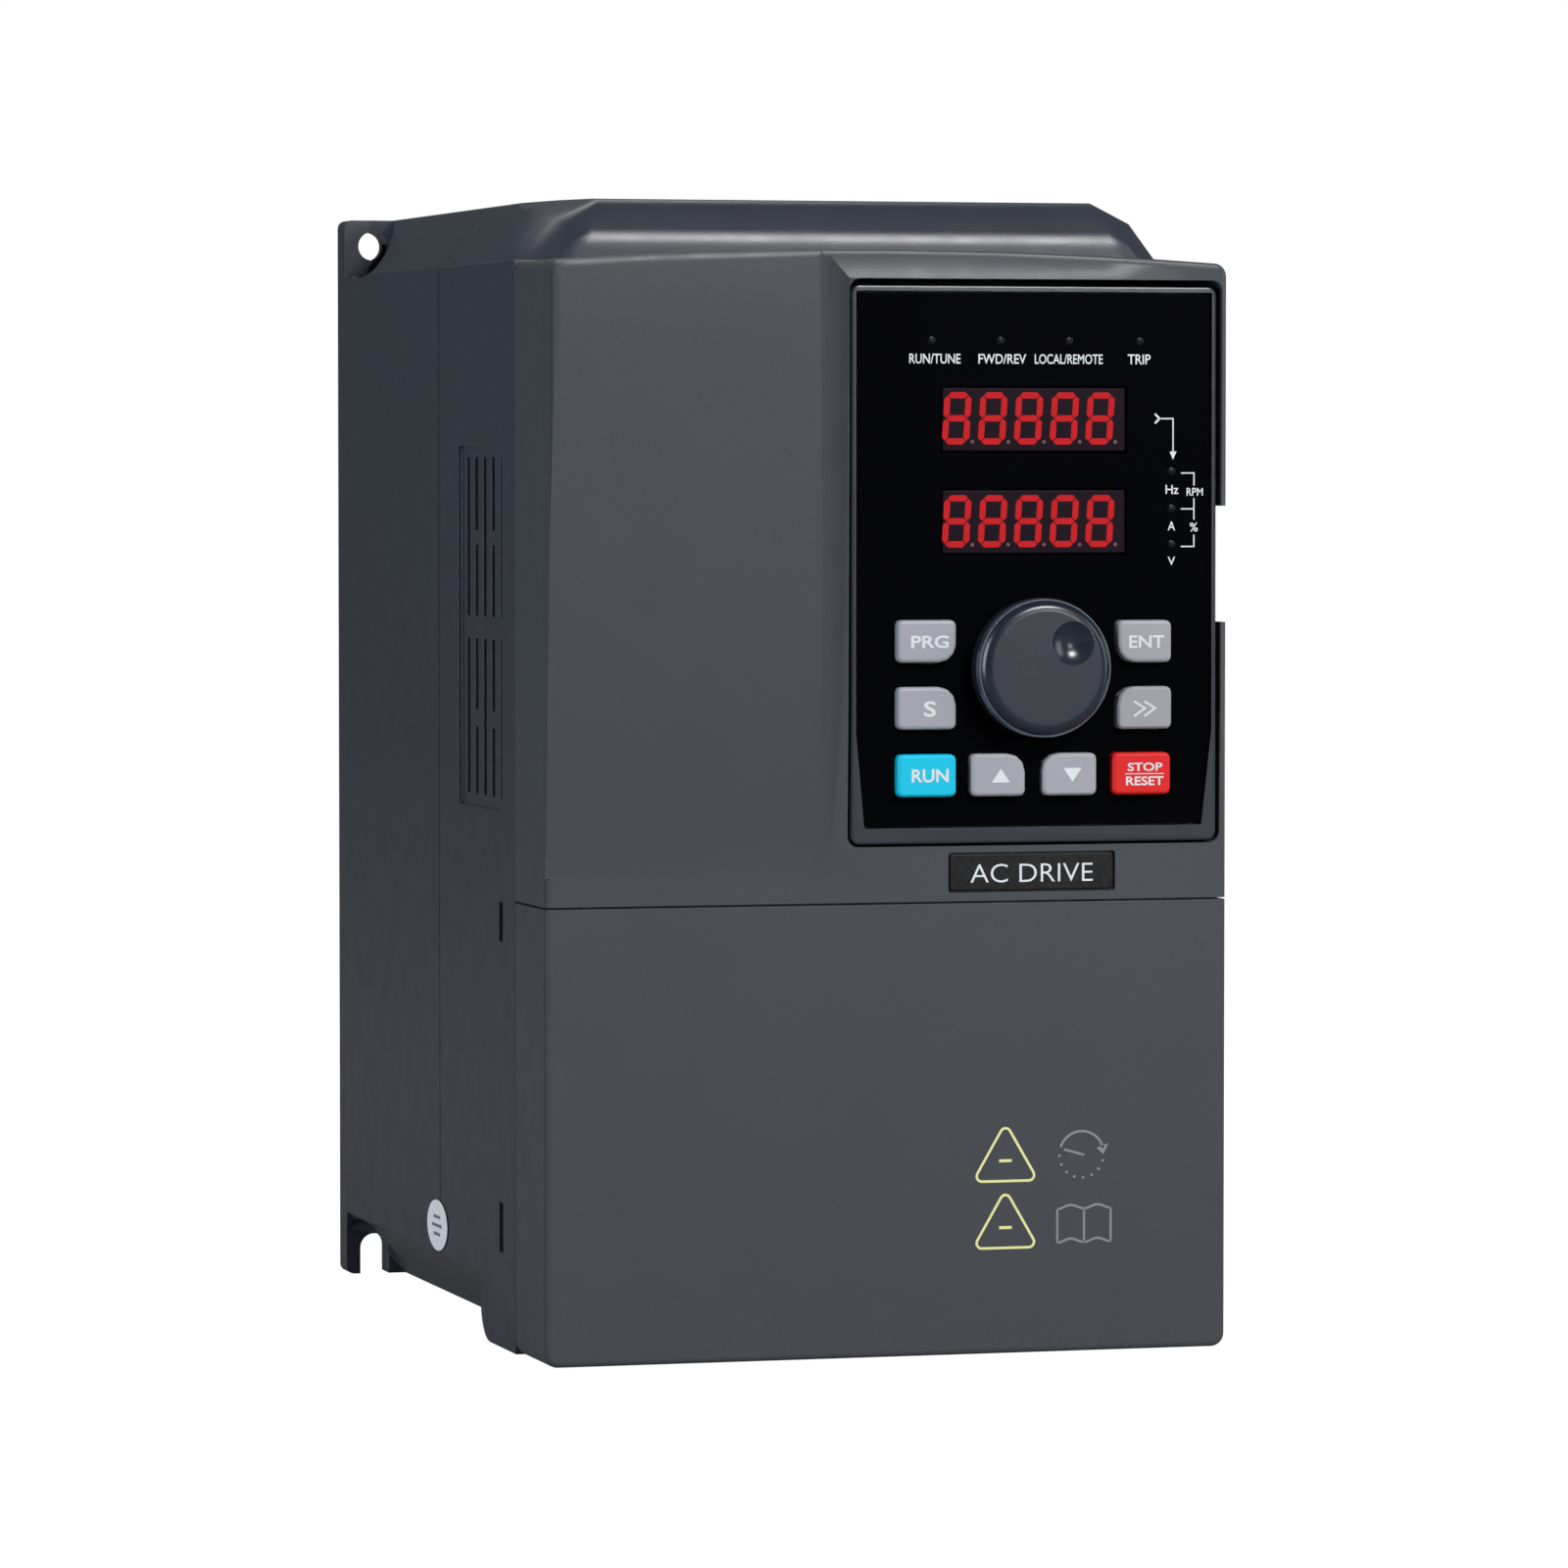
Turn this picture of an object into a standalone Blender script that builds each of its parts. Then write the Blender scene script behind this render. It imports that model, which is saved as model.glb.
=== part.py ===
"""Variable frequency drive for wall mounting, built as an assembly of separate solids.

Lengths are written in millimetres, measured from the drive's front, lower, left corner: X to the
right, Y towards the back and Z up. in_frame() turns a point into metres around the origin, which
is the centre of the four mounting holes on the back face, so the front faces -Y.
"""

import math

import bmesh
import bpy
import numpy as np
from mathutils import Matrix, Vector

MM = 0.001

# Driving dimensions of the case.
WIDTH = 118.0
DEPTH = 157.0
HEIGHT = 193.0
WALL = 2.4
GAP = 0.3
TOUCH = 0.01
COVER_DEPTH = 20.7
MIDDLE_FRONT = 21.0
PARTING = 76.0
COVER_SEAM = 75.7
MIDDLE_X = WIDTH / 2
ORIGIN = Vector((MIDDLE_X, DEPTH, HEIGHT / 2))

# Cross-section of the housings: straight sides with sloped corners above and below.
SIDE_TOP = 182.5
HOOD_INSET = 8.0
SIDE_BOTTOM = 11.5
BOTTOM_INSET = 11.0
HOOD_LEDGE = 0.4
NOSE_BACK = 41.0
NOSE_CORNER = 11.0
NOSE_PROFILE = (
    (21.0, 184.8),
    (21.9, 187.2),
    (22.4, 188.0),
    (24.0, 190.3),
    (25.3, 191.8),
    (26.5, 192.7),
    (28.0, 193.0),
)
NOSE_LEVELS = (30.0, 32.5, 35.0, 38.0, 41.0, 44.5, 48.0, 52.0)
NOSE_HOLLOW_FRONT = 34.0
CREST_EDGE = 0.6
CREST_ROUND = 4.3
CREST_ROUND_Y = (31.0, 52.0)
CREST_SHARE = 0.8
NOSE_ROOF = 180.0
FOOT_BACK = 46.0
FOOT_HEIGHT = 60.0
FOOT_RADIUS = 6.5

# Openings of the rear housing: room round the heatsink, and air slots in its underside.
HEATSINK_ROOM = 0.5
INTAKE_COUNT = 10
INTAKE_FIRST_X = 23.0
INTAKE_PITCH = 8.0
INTAKE_WIDTH = 4.0
INTAKE_Y = (84.0, 140.0)
SCREW_SEAT_DEPTH = 2.8

# Mounting lugs.
LUG_THICKNESS = 6.0
LUG_RADIUS = 1.4
LUG_SPOT_FACE = 0.3
HOLE_RADIUS = 2.6
HOLE_INSET = 5.2
TOP_HOLE_Z = 188.3
SLOT_RADIUS = 2.65
SLOT_CORNER = 2.597
SLOT_CENTRE_Z = 4.7
SCOOP_RADIUS = 6.2
SCOOP_LENGTH = 44.0
SCOOP_LEAN = math.radians(24.0)
SCOOP_STEPS = 24

# Side vents and snap windows.
VENT_POCKET = ((30.0, 90.5), (61.5, 151.7))
VENT_POCKET_DEPTH = 0.6
VENT_COLUMNS = (32.4, 38.5, 44.5, 50.5, 56.5)
VENT_WIDTH = 2.2
VENT_ROWS = ((92.5, 119.0), (122.8, 149.7))
VENT_BRIDGES = ((104.0, 106.9), (134.9, 137.4))
WINDOW_Y = (29.6, 32.6)
WINDOW_ROWS = ((16.1, 24.5), (68.5, 75.1))

# Wiring chamber behind the terminal cover.
CHAMBER_BACK = 64.0
CHAMBER_TOP = 76.5
CHAMBER_FLOOR = 1.5
SHELF = 2.0
CABLE_HOLES_X = (29.0, 59.0, 89.0)
CABLE_HOLE_Y = 33.0
CABLE_HOLE_RADIUS = 9.0
GROMMET_BORE = 5.5
GROMMET_FLANGE = 2.0
GROMMET_BOTTOM = 0.1
GROMMET_TOP = 1.8

# Front covers.
COVER_TOP_END = 182.2
COVER_TOP_MIDDLE = 184.1
COVER_CORNER = 2.2
COVER_EDGE = 1.0
SKIN = 2.2
PANEL_RIGHT = 46.5
PANEL_RISE = 4.6
PANEL_EDGE = 1.6
PANEL_EDGE_STEP = 0.3
PANEL_DRAFT = 0.05
PANEL_ROOT = 4.0
PANEL_ARCH_X = (36.0, 26.0, 16.0)
PANEL_PROFILE = ((0.0, 81.6), (-0.7, 88.5), (-2.2, 116.0), (-3.7, 150.0), (-4.6, 169.0))
PANEL_HOLLOW = ((4.0, 130.0), (44.3, 176.0))
PANEL_HOLLOW_FRONT = -1.4
ARCH_STEPS = 12
NOTCH_Z = (122.1, 141.6)
NOTCH_RADIUS = 3.0
NAMEPLATE = ((69.1, 77.3), (98.3, 84.0))
NAMEPLATE_DEPTH = 0.9
NAMEPLATE_FACE = 0.2
NAMEPLATE_CORNER = 0.4
STICKER_CENTRE = (77.3, 16.2)
STICKER_RADII = (7.5, 4.45)
STICKER_STANDOFF = 0.1
TONGUE_X = (1.5, 4.3)
TONGUE_LENGTH = 34.0
TONGUE_THICKNESS = 1.6
TONGUE_CLEARANCE = 0.5

# Keypad.
KEYPAD_LOW = (52.0, 85.5)
KEYPAD_HIGH = (115.9, 178.2)
KEYPAD_GAP = 0.4
KEYPAD_WIDE_GAP = (0.7, 1.1)
KEYPAD_CORNER = 1.5
KEYPAD_WALL = 1.5
KEYPAD_EDGE = 0.5
SURROUND_X = (48.6, 117.0)
SURROUND_MARGIN = 1.1
SURROUND_RISE = 1.3
SURROUND_PROFILE = ((0.0, 84.3), (-0.6, 110.0), (-1.15, 160.0), (-1.7, 185.0))
KEYPAD_FRONT = -0.5
KEYPAD_BACK = 14.5
POCKET_FLOOR = 17.5
POCKET_SKIN = 1.8
POCKET_CORNER = 1.9
KEYPAD_AXIS_X = 84.0
PANEL_FACE = -0.1
PANEL_BACK = 1.9
PANEL_CORNERS = ((54.6, 88.4), (113.1, 88.4), (114.8, 104.0), (114.8, 177.0), (53.2, 177.0), (53.2, 104.0))
PANEL_CORNER_RADII = (1.0, 1.0, 4.0, 1.0, 1.0, 4.0)
PANEL_CLEARANCE = 0.25
PANEL_SHAFT_HOLE = 4.5
PLATE_SHAFT_HOLE = 4.2
PLATE_FRONT = 2.2
PLATE_BACK = 3.4
DISPLAY_SIZE = (32.6, 11.2)
DISPLAY_FACE = 0.2
DISPLAY_ROWS = {"display_upper": 156.0, "display_lower": 139.0}
BOARD_THICKNESS = 1.6
KEYPAD_BOARD = ((55.0, 88.5), (113.0, 175.5))
KEYPAD_BOARD_FRONT = 8.6
PLUG_SIZE = (11.0, 8.0)
PLUG_Z = 125.0
PLUG_END = 26.0
PLUG_WAY = 1.0
SOCKET_FRONT = 21.5
SOCKET_WALL = 2.2
SOCKET_CLEARANCE = 0.4
KEYPAD_BACK_INSET = 0.6
KEYPAD_BACK_CORNER = 1.2
KEYPAD_BACK_END = 16.6

# Keys: centre X, centre Z, width, and which corner has the large radius
# (0 lower left, 1 lower right, 2 upper right, 3 upper left, None for no large corner).
KEY_HEIGHT = 7.1
KEY_CORNER = 1.0
KEY_LARGE_CORNER = 3.0
KEY_FACE = -1.7
KEY_EDGE = 0.4
KEY_FLANGE = 0.7
KEY_FLANGE_Y = (3.9, 5.0)
KEY_CLEARANCE = 0.35
KEY_MAT = ((57.0, 91.0), (111.0, 124.5))
KEY_MAT_FACE = 6.8
DOME_RADIUS = 2.4
DOME_Y = (6.2, 7.3)
KEYS = {
    "key_prg": (64.9, 119.2, 10.2, 1),
    "key_s": (64.9, 108.1, 10.2, 2),
    "key_run": (64.9, 96.9, 10.2, None),
    "key_up": (77.3, 96.9, 9.4, 2),
    "key_down": (89.8, 96.9, 9.4, 3),
    "key_stop": (102.4, 96.9, 10.2, None),
    "key_ent": (102.9, 119.0, 9.5, 0),
    "key_shift": (102.9, 107.9, 9.5, 3),
}

# Knob and rotary encoder.
KNOB_X = 84.35
KNOB_Z = 114.75
KNOB_RADIUS = 11.55
KNOB_FRONT = -6.2
KNOB_BACK = -0.4
KNOB_DIMPLE = (4.5, 4.1)
KNOB_DIMPLE_RADIUS = 3.7
KNOB_DIMPLE_DEPTH = 1.5
KNOB_CHAMFER = 0.4
KNOB_STEPS = 64
# The rounding of the dial's front edge: how far behind the face, and how far inside the radius.
KNOB_ROUNDING = ((1.6, 0.1), (1.0, 0.4), (0.4, 0.9), (0.1, 1.4), (0.0, 2.2))
SHAFT_RADIUS = 3.0
SHAFT_CLEARANCE = 0.2
SHAFT_INTO_KNOB = 3.4
ENCODER_HALF = 6.0
ENCODER_FACE = 3.8
ENCODER_CLEARANCE = 0.8
SHAFT_END = 7.9

# Cooling: heatsink with fins open to the wall, and the fan above it.
HEATSINK_X = (12.0, 106.0)
HEATSINK_Z = (24.0, 150.0)
HEATSINK_BASE = (97.7, 104.0)
FIN_THICKNESS = 1.6
CENTRE_FIN_THICKNESS = 7.0
FIN_PITCH = 6.1
FIRST_FIN = 8.0
FINS_EACH_SIDE = 7
FAN_SIZE = 50.0
FAN_Y = 124.0
FAN_Z = (170.0, 185.0)
FAN_BORE = 23.5
FAN_HUB = 10.0
FAN_BLADES = 7
FAN_OPENING = 53.0
FAN_CORNER = 3.0
FAN_ARM = 1.6
FAN_ARM_HEIGHT = 2.0
FAN_BLADE = 0.6
FAN_BLADE_LEAN = math.radians(32.0)
FAN_TIP_GAP = 0.8
IMPELLER_Z = (172.5, 184.5)
GRILLE_SKIRT = 6.0
GRILLE_THICKNESS = 2.0
GRILLE_RIM = 1.8
GRILLE_PITCH = 5.2
GRILLE_SLOT = 3.2
GRILLE_CORNER = 1.5
GRILLE_SPINE = 1.5
GRILLE_SLOTS = range(-4, 5)

# Electronics. A pair of corners, ((x, z), (x, z)), is a part's place in the front view.
BOARD_LEFT = 8.0
CONTROL_BOARD_FRONT = 34.0
CONTROL_BOARD_TOP = 174.0
CONTROL_SHOULDER = 82.0
CONTROL_NECK_X = (52.0, 111.0)
CONTROL_NECK_LOW = 50.0
PROCESSOR = ((26.0, 118.0), (40.0, 132.0))
PROCESSOR_HEIGHT = 1.7
CONTROL_TERMINALS = ((54.0, 52.0), (109.0, 63.0))
CONTROL_TERMINAL_DEPTH = 10.0
CONTROL_TERMINAL_PITCH = 5.2
CONTROL_TERMINAL_WEB = 1.6
CONTROL_TERMINAL_WAYS = 10
POWER_BOARD = ((BOARD_LEFT, 26.0), (110.0, 172.0))
POWER_BOARD_FRONT = 86.0
POWER_MODULE = ((30.0, 50.0), (88.0, 96.0))
TRANSFORMER_CORE = ((78.0, 122.0), (106.0, 146.0))
TRANSFORMER_COIL = ((82.0, 126.0), (102.0, 142.0))
TRANSFORMER_FRONT = 66.0
RELAY = ((14.0, 88.0), (32.0, 106.0))
RELAY_DEPTH = 18.0
RIBBON_X = (60.0, 90.0)
RIBBON_Z = 104.0
RIBBON_SAG = ((46.0, 98.0), (75.0, 98.0))
RIBBON_THICKNESS = 1.2
CAPACITOR_RADIUS = 12.5
CAPACITOR_FRONT = 44.0
CAPACITOR_CENTRES = ((27.0, 134.0), (55.0, 134.0))
TERMINAL_POLES = 8
TERMINAL_X = (13.0, 105.0)
TERMINAL_Z = (18.0, 40.0)
TERMINAL_FRONT = 44.0
TERMINAL_SEAT = 50.0
TERMINAL_BARRIER = 0.8
SCREW_RADIUS = 3.2
SCREW_HEIGHT = 2.0
SCREW_SHOULDER = 1.4
SCREW_CROWN = 0.8
SCREW_CROSS = 0.62
SCREW_SLIT = 0.45
SCREW_SLIT_DEPTH = 0.8
EARTH_BAR = ((15.0, 5.5), (103.0, 14.0))
EARTH_BAR_FRONT = 57.0
EARTH_SCREWS = ((22.0, 9.8), (96.0, 9.8))
CASE_SCREWS = ((6.0, 60.0), (6.0, 130.0), (112.0, 60.0), (112.0, 130.0))
CASE_SCREW_RADIUS = 3.1
CASE_SCREW_SEAT = 154.5

ROUND_STEPS = 32
ARC_STEPS = 6


# Points, outlines and simple closed solids.

def in_frame(point):
    """The point in metres, around the origin on the back face."""
    return (Vector(point) - ORIGIN) * MM


def spread(axis, point, level):
    """A point of an outline, at this level along the axis that the outline is carried along."""
    first, second = point
    return {"X": (level, first, second), "Y": (first, level, second), "Z": (first, second, level)}[axis]


def rectangle(low, high):
    return [(low[0], low[1]), (high[0], low[1]), (high[0], high[1]), (low[0], high[1])]


def mirrored(outline):
    """The outline on the other side of the drive."""
    return [(WIDTH - x, z) for x, z in reversed(outline)]


def round_corners(corners, radii, steps=ARC_STEPS):
    """The outline with an arc in place of each corner that has a radius."""
    points = []
    for i, (corner, radius) in enumerate(zip(corners, radii)):
        here = Vector(corner)
        if radius == 0:
            points.append(tuple(here))
            continue
        back = (Vector(corners[i - 1]) - here).normalized()
        ahead = (Vector(corners[(i + 1) % len(corners)]) - here).normalized()
        half = back.angle(ahead) / 2
        centre = here + (back + ahead).normalized() * radius / math.sin(half)
        start = here + back * radius / math.tan(half) - centre
        end = here + ahead * radius / math.tan(half) - centre
        first = math.atan2(start.y, start.x)
        turn = math.remainder(math.atan2(end.y, end.x) - first, math.tau)
        for step in range(steps + 1):
            angle = first + turn * step / steps
            points.append((centre.x + radius * math.cos(angle), centre.y + radius * math.sin(angle)))
    return points


def rounded_rectangle(low, high, radius, steps=ARC_STEPS):
    return round_corners(rectangle(low, high), (radius,) * 4, steps)


def circle(centre, radius, steps=ROUND_STEPS):
    angles = [math.tau * i / steps for i in range(steps)]
    return [(centre[0] + radius * math.cos(a), centre[1] + radius * math.sin(a)) for a in angles]


def inset(corners, distance):
    """A convex anticlockwise outline with every side moved inwards."""
    points = []
    for i, corner in enumerate(corners):
        here = Vector(corner)
        before = (here - Vector(corners[i - 1])).normalized()
        after = (Vector(corners[(i + 1) % len(corners)]) - here).normalized()
        inwards = Vector((-before.y, before.x)) + Vector((-after.y, after.x))
        points.append(tuple(here + inwards * distance / (1 + before.dot(after))))
    return points


def loft(axis, sections):
    """A closed solid through outlines with equal counts of points: [(level, outline), ...]."""
    bm = bmesh.new()
    rings = []
    for level, outline in sections:
        rings.append([bm.verts.new(in_frame(spread(axis, point, level))) for point in outline])
    count = len(rings[0])
    for near, far in zip(rings, rings[1:]):
        for i in range(count):
            j = (i + 1) % count
            bm.faces.new((near[i], near[j], far[j], far[i]))
    bm.faces.new(rings[0])
    bm.faces.new(rings[-1])
    bmesh.ops.recalc_face_normals(bm, faces=bm.faces)
    return bm


def prism(axis, outline, start, end):
    return loft(axis, [(start, outline), (end, outline)])


def box(low, high):
    return prism("Z", rectangle(low[:2], high[:2]), low[2], high[2])


def block(face, front, back):
    """A box from its front view, ((x, z), (x, z)), and the depths of its front and back."""
    (x0, z0), (x1, z1) = face
    return box((x0, front, z0), (x1, back, z1))


def square(centre, half):
    """The lower and higher corners of a square."""
    return (centre[0] - half, centre[1] - half), (centre[0] + half, centre[1] + half)


def rod(axis, centre, radius, start, end, steps=ROUND_STEPS):
    """A cylinder along an axis; centre is its place across that axis."""
    return prism(axis, circle(centre, radius, steps), start, end)


def turned(axis, centre, profile, steps=ROUND_STEPS):
    """A solid of revolution through (level, radius) stations along an axis."""
    return loft(axis, [(level, circle(centre, radius, steps)) for level, radius in profile])


def soften(bm, test, width, segments=2):
    """Bevels the edges that pass the test, which reads an edge's two ends in millimetres."""
    chosen = [e for e in bm.edges if test(*(v.co / MM + ORIGIN for v in e.verts))]
    bmesh.ops.bevel(bm, geom=chosen, offset=width * MM, segments=segments, profile=0.5, affect="EDGES")
    bmesh.ops.recalc_face_normals(bm, faces=bm.faces)
    return bm


# Objects, materials and Booleans.

def clear_scene():
    for obj in list(bpy.data.objects):
        bpy.data.objects.remove(obj, do_unlink=True)


def material(name, colour, roughness, metallic=0.0):
    made = bpy.data.materials.get(name)
    if made is None:
        made = bpy.data.materials.new(name)
        made.use_nodes = True
        shader = made.node_tree.nodes["Principled BSDF"]
        shader.inputs["Base Color"].default_value = (*colour, 1.0)
        shader.inputs["Roughness"].default_value = roughness
        shader.inputs["Metallic"].default_value = metallic
    return made


def empty(name, point):
    made = bpy.data.objects.new(name, None)
    made.location = in_frame(point)
    bpy.context.scene.collection.objects.link(made)
    return made


def solid(name, bm, finish, pivot=None, parent=None):
    """An object from a bmesh. pivot is its origin, and parent an unrotated empty."""
    mesh = bpy.data.meshes.new(name)
    bm.to_mesh(mesh)
    bm.free()
    place = in_frame(pivot) if pivot else Vector()
    mesh.transform(Matrix.Translation(-place))
    mesh.materials.append(finish)
    mesh.shade_smooth()
    mesh.set_sharp_from_angle(angle=math.radians(35))
    made = bpy.data.objects.new(name, mesh)
    made.location = place
    if parent:
        made.parent = parent
        made.location = place - parent.location
    bpy.context.scene.collection.objects.link(made)
    return made


def hide(obj):
    obj.hide_render = True
    obj.display_type = "WIRE"
    return obj


def shape_with(obj, operation, shapes):
    """Cuts or joins each closed shape or helper object, left as Boolean modifiers."""
    for shape in shapes:
        name = f"{obj.name}_{operation.lower()}_{len(obj.modifiers)}"
        made = isinstance(shape, bpy.types.Object)
        helper = shape if made else hide(solid(name, shape, obj.data.materials[0]))
        modifier = obj.modifiers.new(helper.name, "BOOLEAN")
        modifier.operation = operation
        modifier.solver = "EXACT"
        modifier.object = helper
    return obj


def cut(obj, *shapes):
    return shape_with(obj, "DIFFERENCE", shapes)


def keep_inside(obj, shape):
    return shape_with(obj, "INTERSECT", [shape])


def join(obj, *shapes):
    return shape_with(obj, "UNION", shapes)


def several(shapes):
    """Closed shapes that lie apart, as one helper."""
    first, *others = shapes
    for other in others:
        spare = bpy.data.meshes.new("spare")
        other.to_mesh(spare)
        other.free()
        first.from_mesh(spare)
        bpy.data.meshes.remove(spare)
    return first


# The case.

CASE = material("case_plastic", (0.045, 0.051, 0.064), 0.42)
COVER = material("cover_plastic", (0.075, 0.087, 0.095), 0.42)
KEYPAD = material("keypad_plastic", (0.07, 0.076, 0.09), 0.38)
GLOSS = material("gloss_black", (0.004, 0.004, 0.006), 0.08)
ALUMINIUM = material("aluminium", (0.66, 0.67, 0.68), 0.38, 1.0)
STEEL = material("zinc_steel", (0.55, 0.56, 0.57), 0.3, 1.0)
BOARD = material("circuit_board", (0.02, 0.14, 0.07), 0.5)
BLACK = material("black_plastic", (0.012, 0.012, 0.013), 0.5)


def housing_outline(y):
    """Section of the housings at a depth, with the hood's nose drawn in towards the front."""
    share = max(0.0, (NOSE_BACK - y) / (NOSE_BACK - MIDDLE_FRONT))
    corner = HOOD_LEDGE + NOSE_CORNER * (1 - math.sqrt(max(0.0, 1 - share * share)))
    crest = float(np.interp(y, *zip(*NOSE_PROFILE)))
    rise = (crest - SIDE_TOP) / (HEIGHT - SIDE_TOP)
    slope = HOOD_INSET * rise
    bevel = float(np.interp(y, CREST_ROUND_Y, (CREST_ROUND, CREST_EDGE))) * rise
    fall = bevel * CREST_SHARE
    run = HOOD_INSET / (HEIGHT - SIDE_TOP) * fall
    left = [
        (corner + slope + bevel, crest),
        (corner + slope - run, crest - fall),
        (corner, SIDE_TOP),
        (0.0, SIDE_TOP),
        (0.0, SIDE_BOTTOM),
        (BOTTOM_INSET, 0.0),
    ]
    return left + mirrored(left)


def plain_outline(distance):
    """The housings' section behind the nose, with its walls moved inwards."""
    left = [(HOOD_INSET, HEIGHT), (0.0, SIDE_TOP), (0.0, SIDE_BOTTOM), (BOTTOM_INSET, 0.0)]
    return inset(left + mirrored(left), distance)


def lug_hole(x, top):
    """A round hole at the top, or a slot that is open below."""
    if top:
        return rod("Y", (x, TOP_HOLE_Z), HOLE_RADIUS, DEPTH - LUG_THICKNESS - 1, DEPTH + 1, 24)
    corners = rectangle((x - SLOT_RADIUS, -2), (x + SLOT_RADIUS, SLOT_CENTRE_Z + SLOT_RADIUS))
    outline = round_corners(corners, (0, 0, SLOT_CORNER, SLOT_CORNER), 6)
    return prism("Y", outline, DEPTH - LUG_THICKNESS - 1, DEPTH + 1)


def lug_scoop(x, z, radius):
    """Room for a screw head and driver in front of a lug, leaning out of the case."""
    outwards = -1 if x < MIDDLE_X else 1
    centre = in_frame((x, DEPTH - LUG_THICKNESS, z))
    direction = Vector((outwards * math.sin(SCOOP_LEAN), -math.cos(SCOOP_LEAN), 0))
    bm = bmesh.new()
    bmesh.ops.create_cone(
        bm,
        cap_ends=True,
        segments=SCOOP_STEPS,
        radius1=radius * MM,
        radius2=radius * MM,
        depth=SCOOP_LENGTH * MM,
    )
    turn = direction.to_track_quat("Z", "Y").to_matrix().to_4x4()
    bm.transform(Matrix.Translation(centre + direction * SCOOP_LENGTH * MM / 2) @ turn)
    return bm


def lug_scoops(radius):
    lug_x = (HOLE_INSET, WIDTH - HOLE_INSET)
    return several([lug_scoop(x, z, radius) for x in lug_x for z in (TOP_HOLE_Z, SLOT_CENTRE_Z)])


def rear_hollow():
    """The inside of the rear housing, which keeps a wall round each lug's scoop."""
    inside = prism("Y", plain_outline(WALL), PARTING - 1, DEPTH - WALL)
    return cut(hide(solid("rear_hollow", inside, CASE)), lug_scoops(SCOOP_RADIUS + WALL))


def rear_housing():
    front = PARTING + GAP / 2
    lug_front = DEPTH - LUG_THICKNESS
    body = loft("Y", [(front, housing_outline(front)), (lug_front + 1, housing_outline(DEPTH))])
    housing = solid("rear_housing", body, CASE)
    join(housing, prism("Y", rounded_rectangle((0, 0), (WIDTH, HEIGHT), LUG_RADIUS), lug_front, DEPTH))
    low = (HEATSINK_X[0] - HEATSINK_ROOM, HEATSINK_Z[0] - HEATSINK_ROOM)
    high = (HEATSINK_X[1] + HEATSINK_ROOM, HEATSINK_Z[1] + HEATSINK_ROOM)
    window = block((low, high), DEPTH - 2 * WALL, DEPTH + 1)
    fan_low, fan_high = square((MIDDLE_X, FAN_Y), FAN_OPENING / 2)
    fan_opening = box((*fan_low, HEIGHT - 2 * WALL), (*fan_high, HEIGHT + 1))
    intakes = []
    for i in range(INTAKE_COUNT):
        x = INTAKE_FIRST_X - INTAKE_WIDTH / 2 + INTAKE_PITCH * i
        intakes.append(box((x, INTAKE_Y[0], -1), (x + INTAKE_WIDTH, INTAKE_Y[1], WALL + 1)))
    holes = [lug_hole(x, top) for x in (HOLE_INSET, WIDTH - HOLE_INSET) for top in (True, False)]
    seat_radius = CASE_SCREW_RADIUS + GAP
    seats = [rod("Y", at, seat_radius, DEPTH - SCREW_SEAT_DEPTH, DEPTH + 1, 20) for at in CASE_SCREWS]
    scoops = hide(solid("lug_scoops", lug_scoops(SCOOP_RADIUS), CASE))
    cut(scoops, box((-20, lug_front + LUG_SPOT_FACE, -20), (WIDTH + 20, DEPTH + 9, HEIGHT + 20)))
    cut(housing, rear_hollow(), window, fan_opening, several(intakes), several(holes + seats))
    return cut(housing, scoops)


def vent_slots(left):
    """Slots through one side wall; the second and fourth columns have a bridge in each row."""
    low, high = (-1, WALL + 1) if left else (WIDTH - WALL - 1, WIDTH + 1)
    slots = []
    for column, y in enumerate(VENT_COLUMNS):
        for (bottom, top), bridge in zip(VENT_ROWS, VENT_BRIDGES):
            spans = ((bottom, bridge[0]), (bridge[1], top)) if column in (1, 3) else ((bottom, top),)
            for z0, z1 in spans:
                slots.append(box((low, y - VENT_WIDTH / 2, z0), (high, y + VENT_WIDTH / 2, z1)))
    return slots


def vent_pocket(left):
    x = (-1, VENT_POCKET_DEPTH) if left else (WIDTH - VENT_POCKET_DEPTH, WIDTH + 1)
    outline = rounded_rectangle(*VENT_POCKET, 1.0, 2)
    return prism("X", outline, *x)


def snap_windows(left):
    low, high = (-1, WALL + 1) if left else (WIDTH - WALL - 1, WIDTH + 1)
    return [box((low, WINDOW_Y[0], z0), (high, WINDOW_Y[1], z1)) for z0, z1 in WINDOW_ROWS]


def chamber_walls():
    """The wiring chamber's back wall and its shelf above, as a helper trimmed to the case."""
    corners = [
        (MIDDLE_FRONT + 2, CHAMBER_TOP),
        (CHAMBER_BACK, CHAMBER_TOP),
        (CHAMBER_BACK, CHAMBER_FLOOR),
        (CHAMBER_BACK + SHELF, CHAMBER_FLOOR),
        (CHAMBER_BACK + SHELF, CHAMBER_TOP + SHELF),
        (MIDDLE_FRONT + 2, CHAMBER_TOP + SHELF),
    ]
    walls = hide(solid("chamber_walls", prism("X", corners, 0, WIDTH), CASE))
    return keep_inside(walls, prism("Y", plain_outline(WALL / 2), MIDDLE_FRONT, PARTING))


def middle_hollow():
    """The inside of the middle housing, which leaves the hood's nose solid."""
    inside = prism("Y", plain_outline(WALL), MIDDLE_FRONT - 1, PARTING + 1)
    hollow = hide(solid("middle_hollow", inside, CASE))
    return cut(hollow, box((-1, MIDDLE_FRONT - 2, NOSE_ROOF), (WIDTH + 1, NOSE_HOLLOW_FRONT, HEIGHT + 1)))


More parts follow.
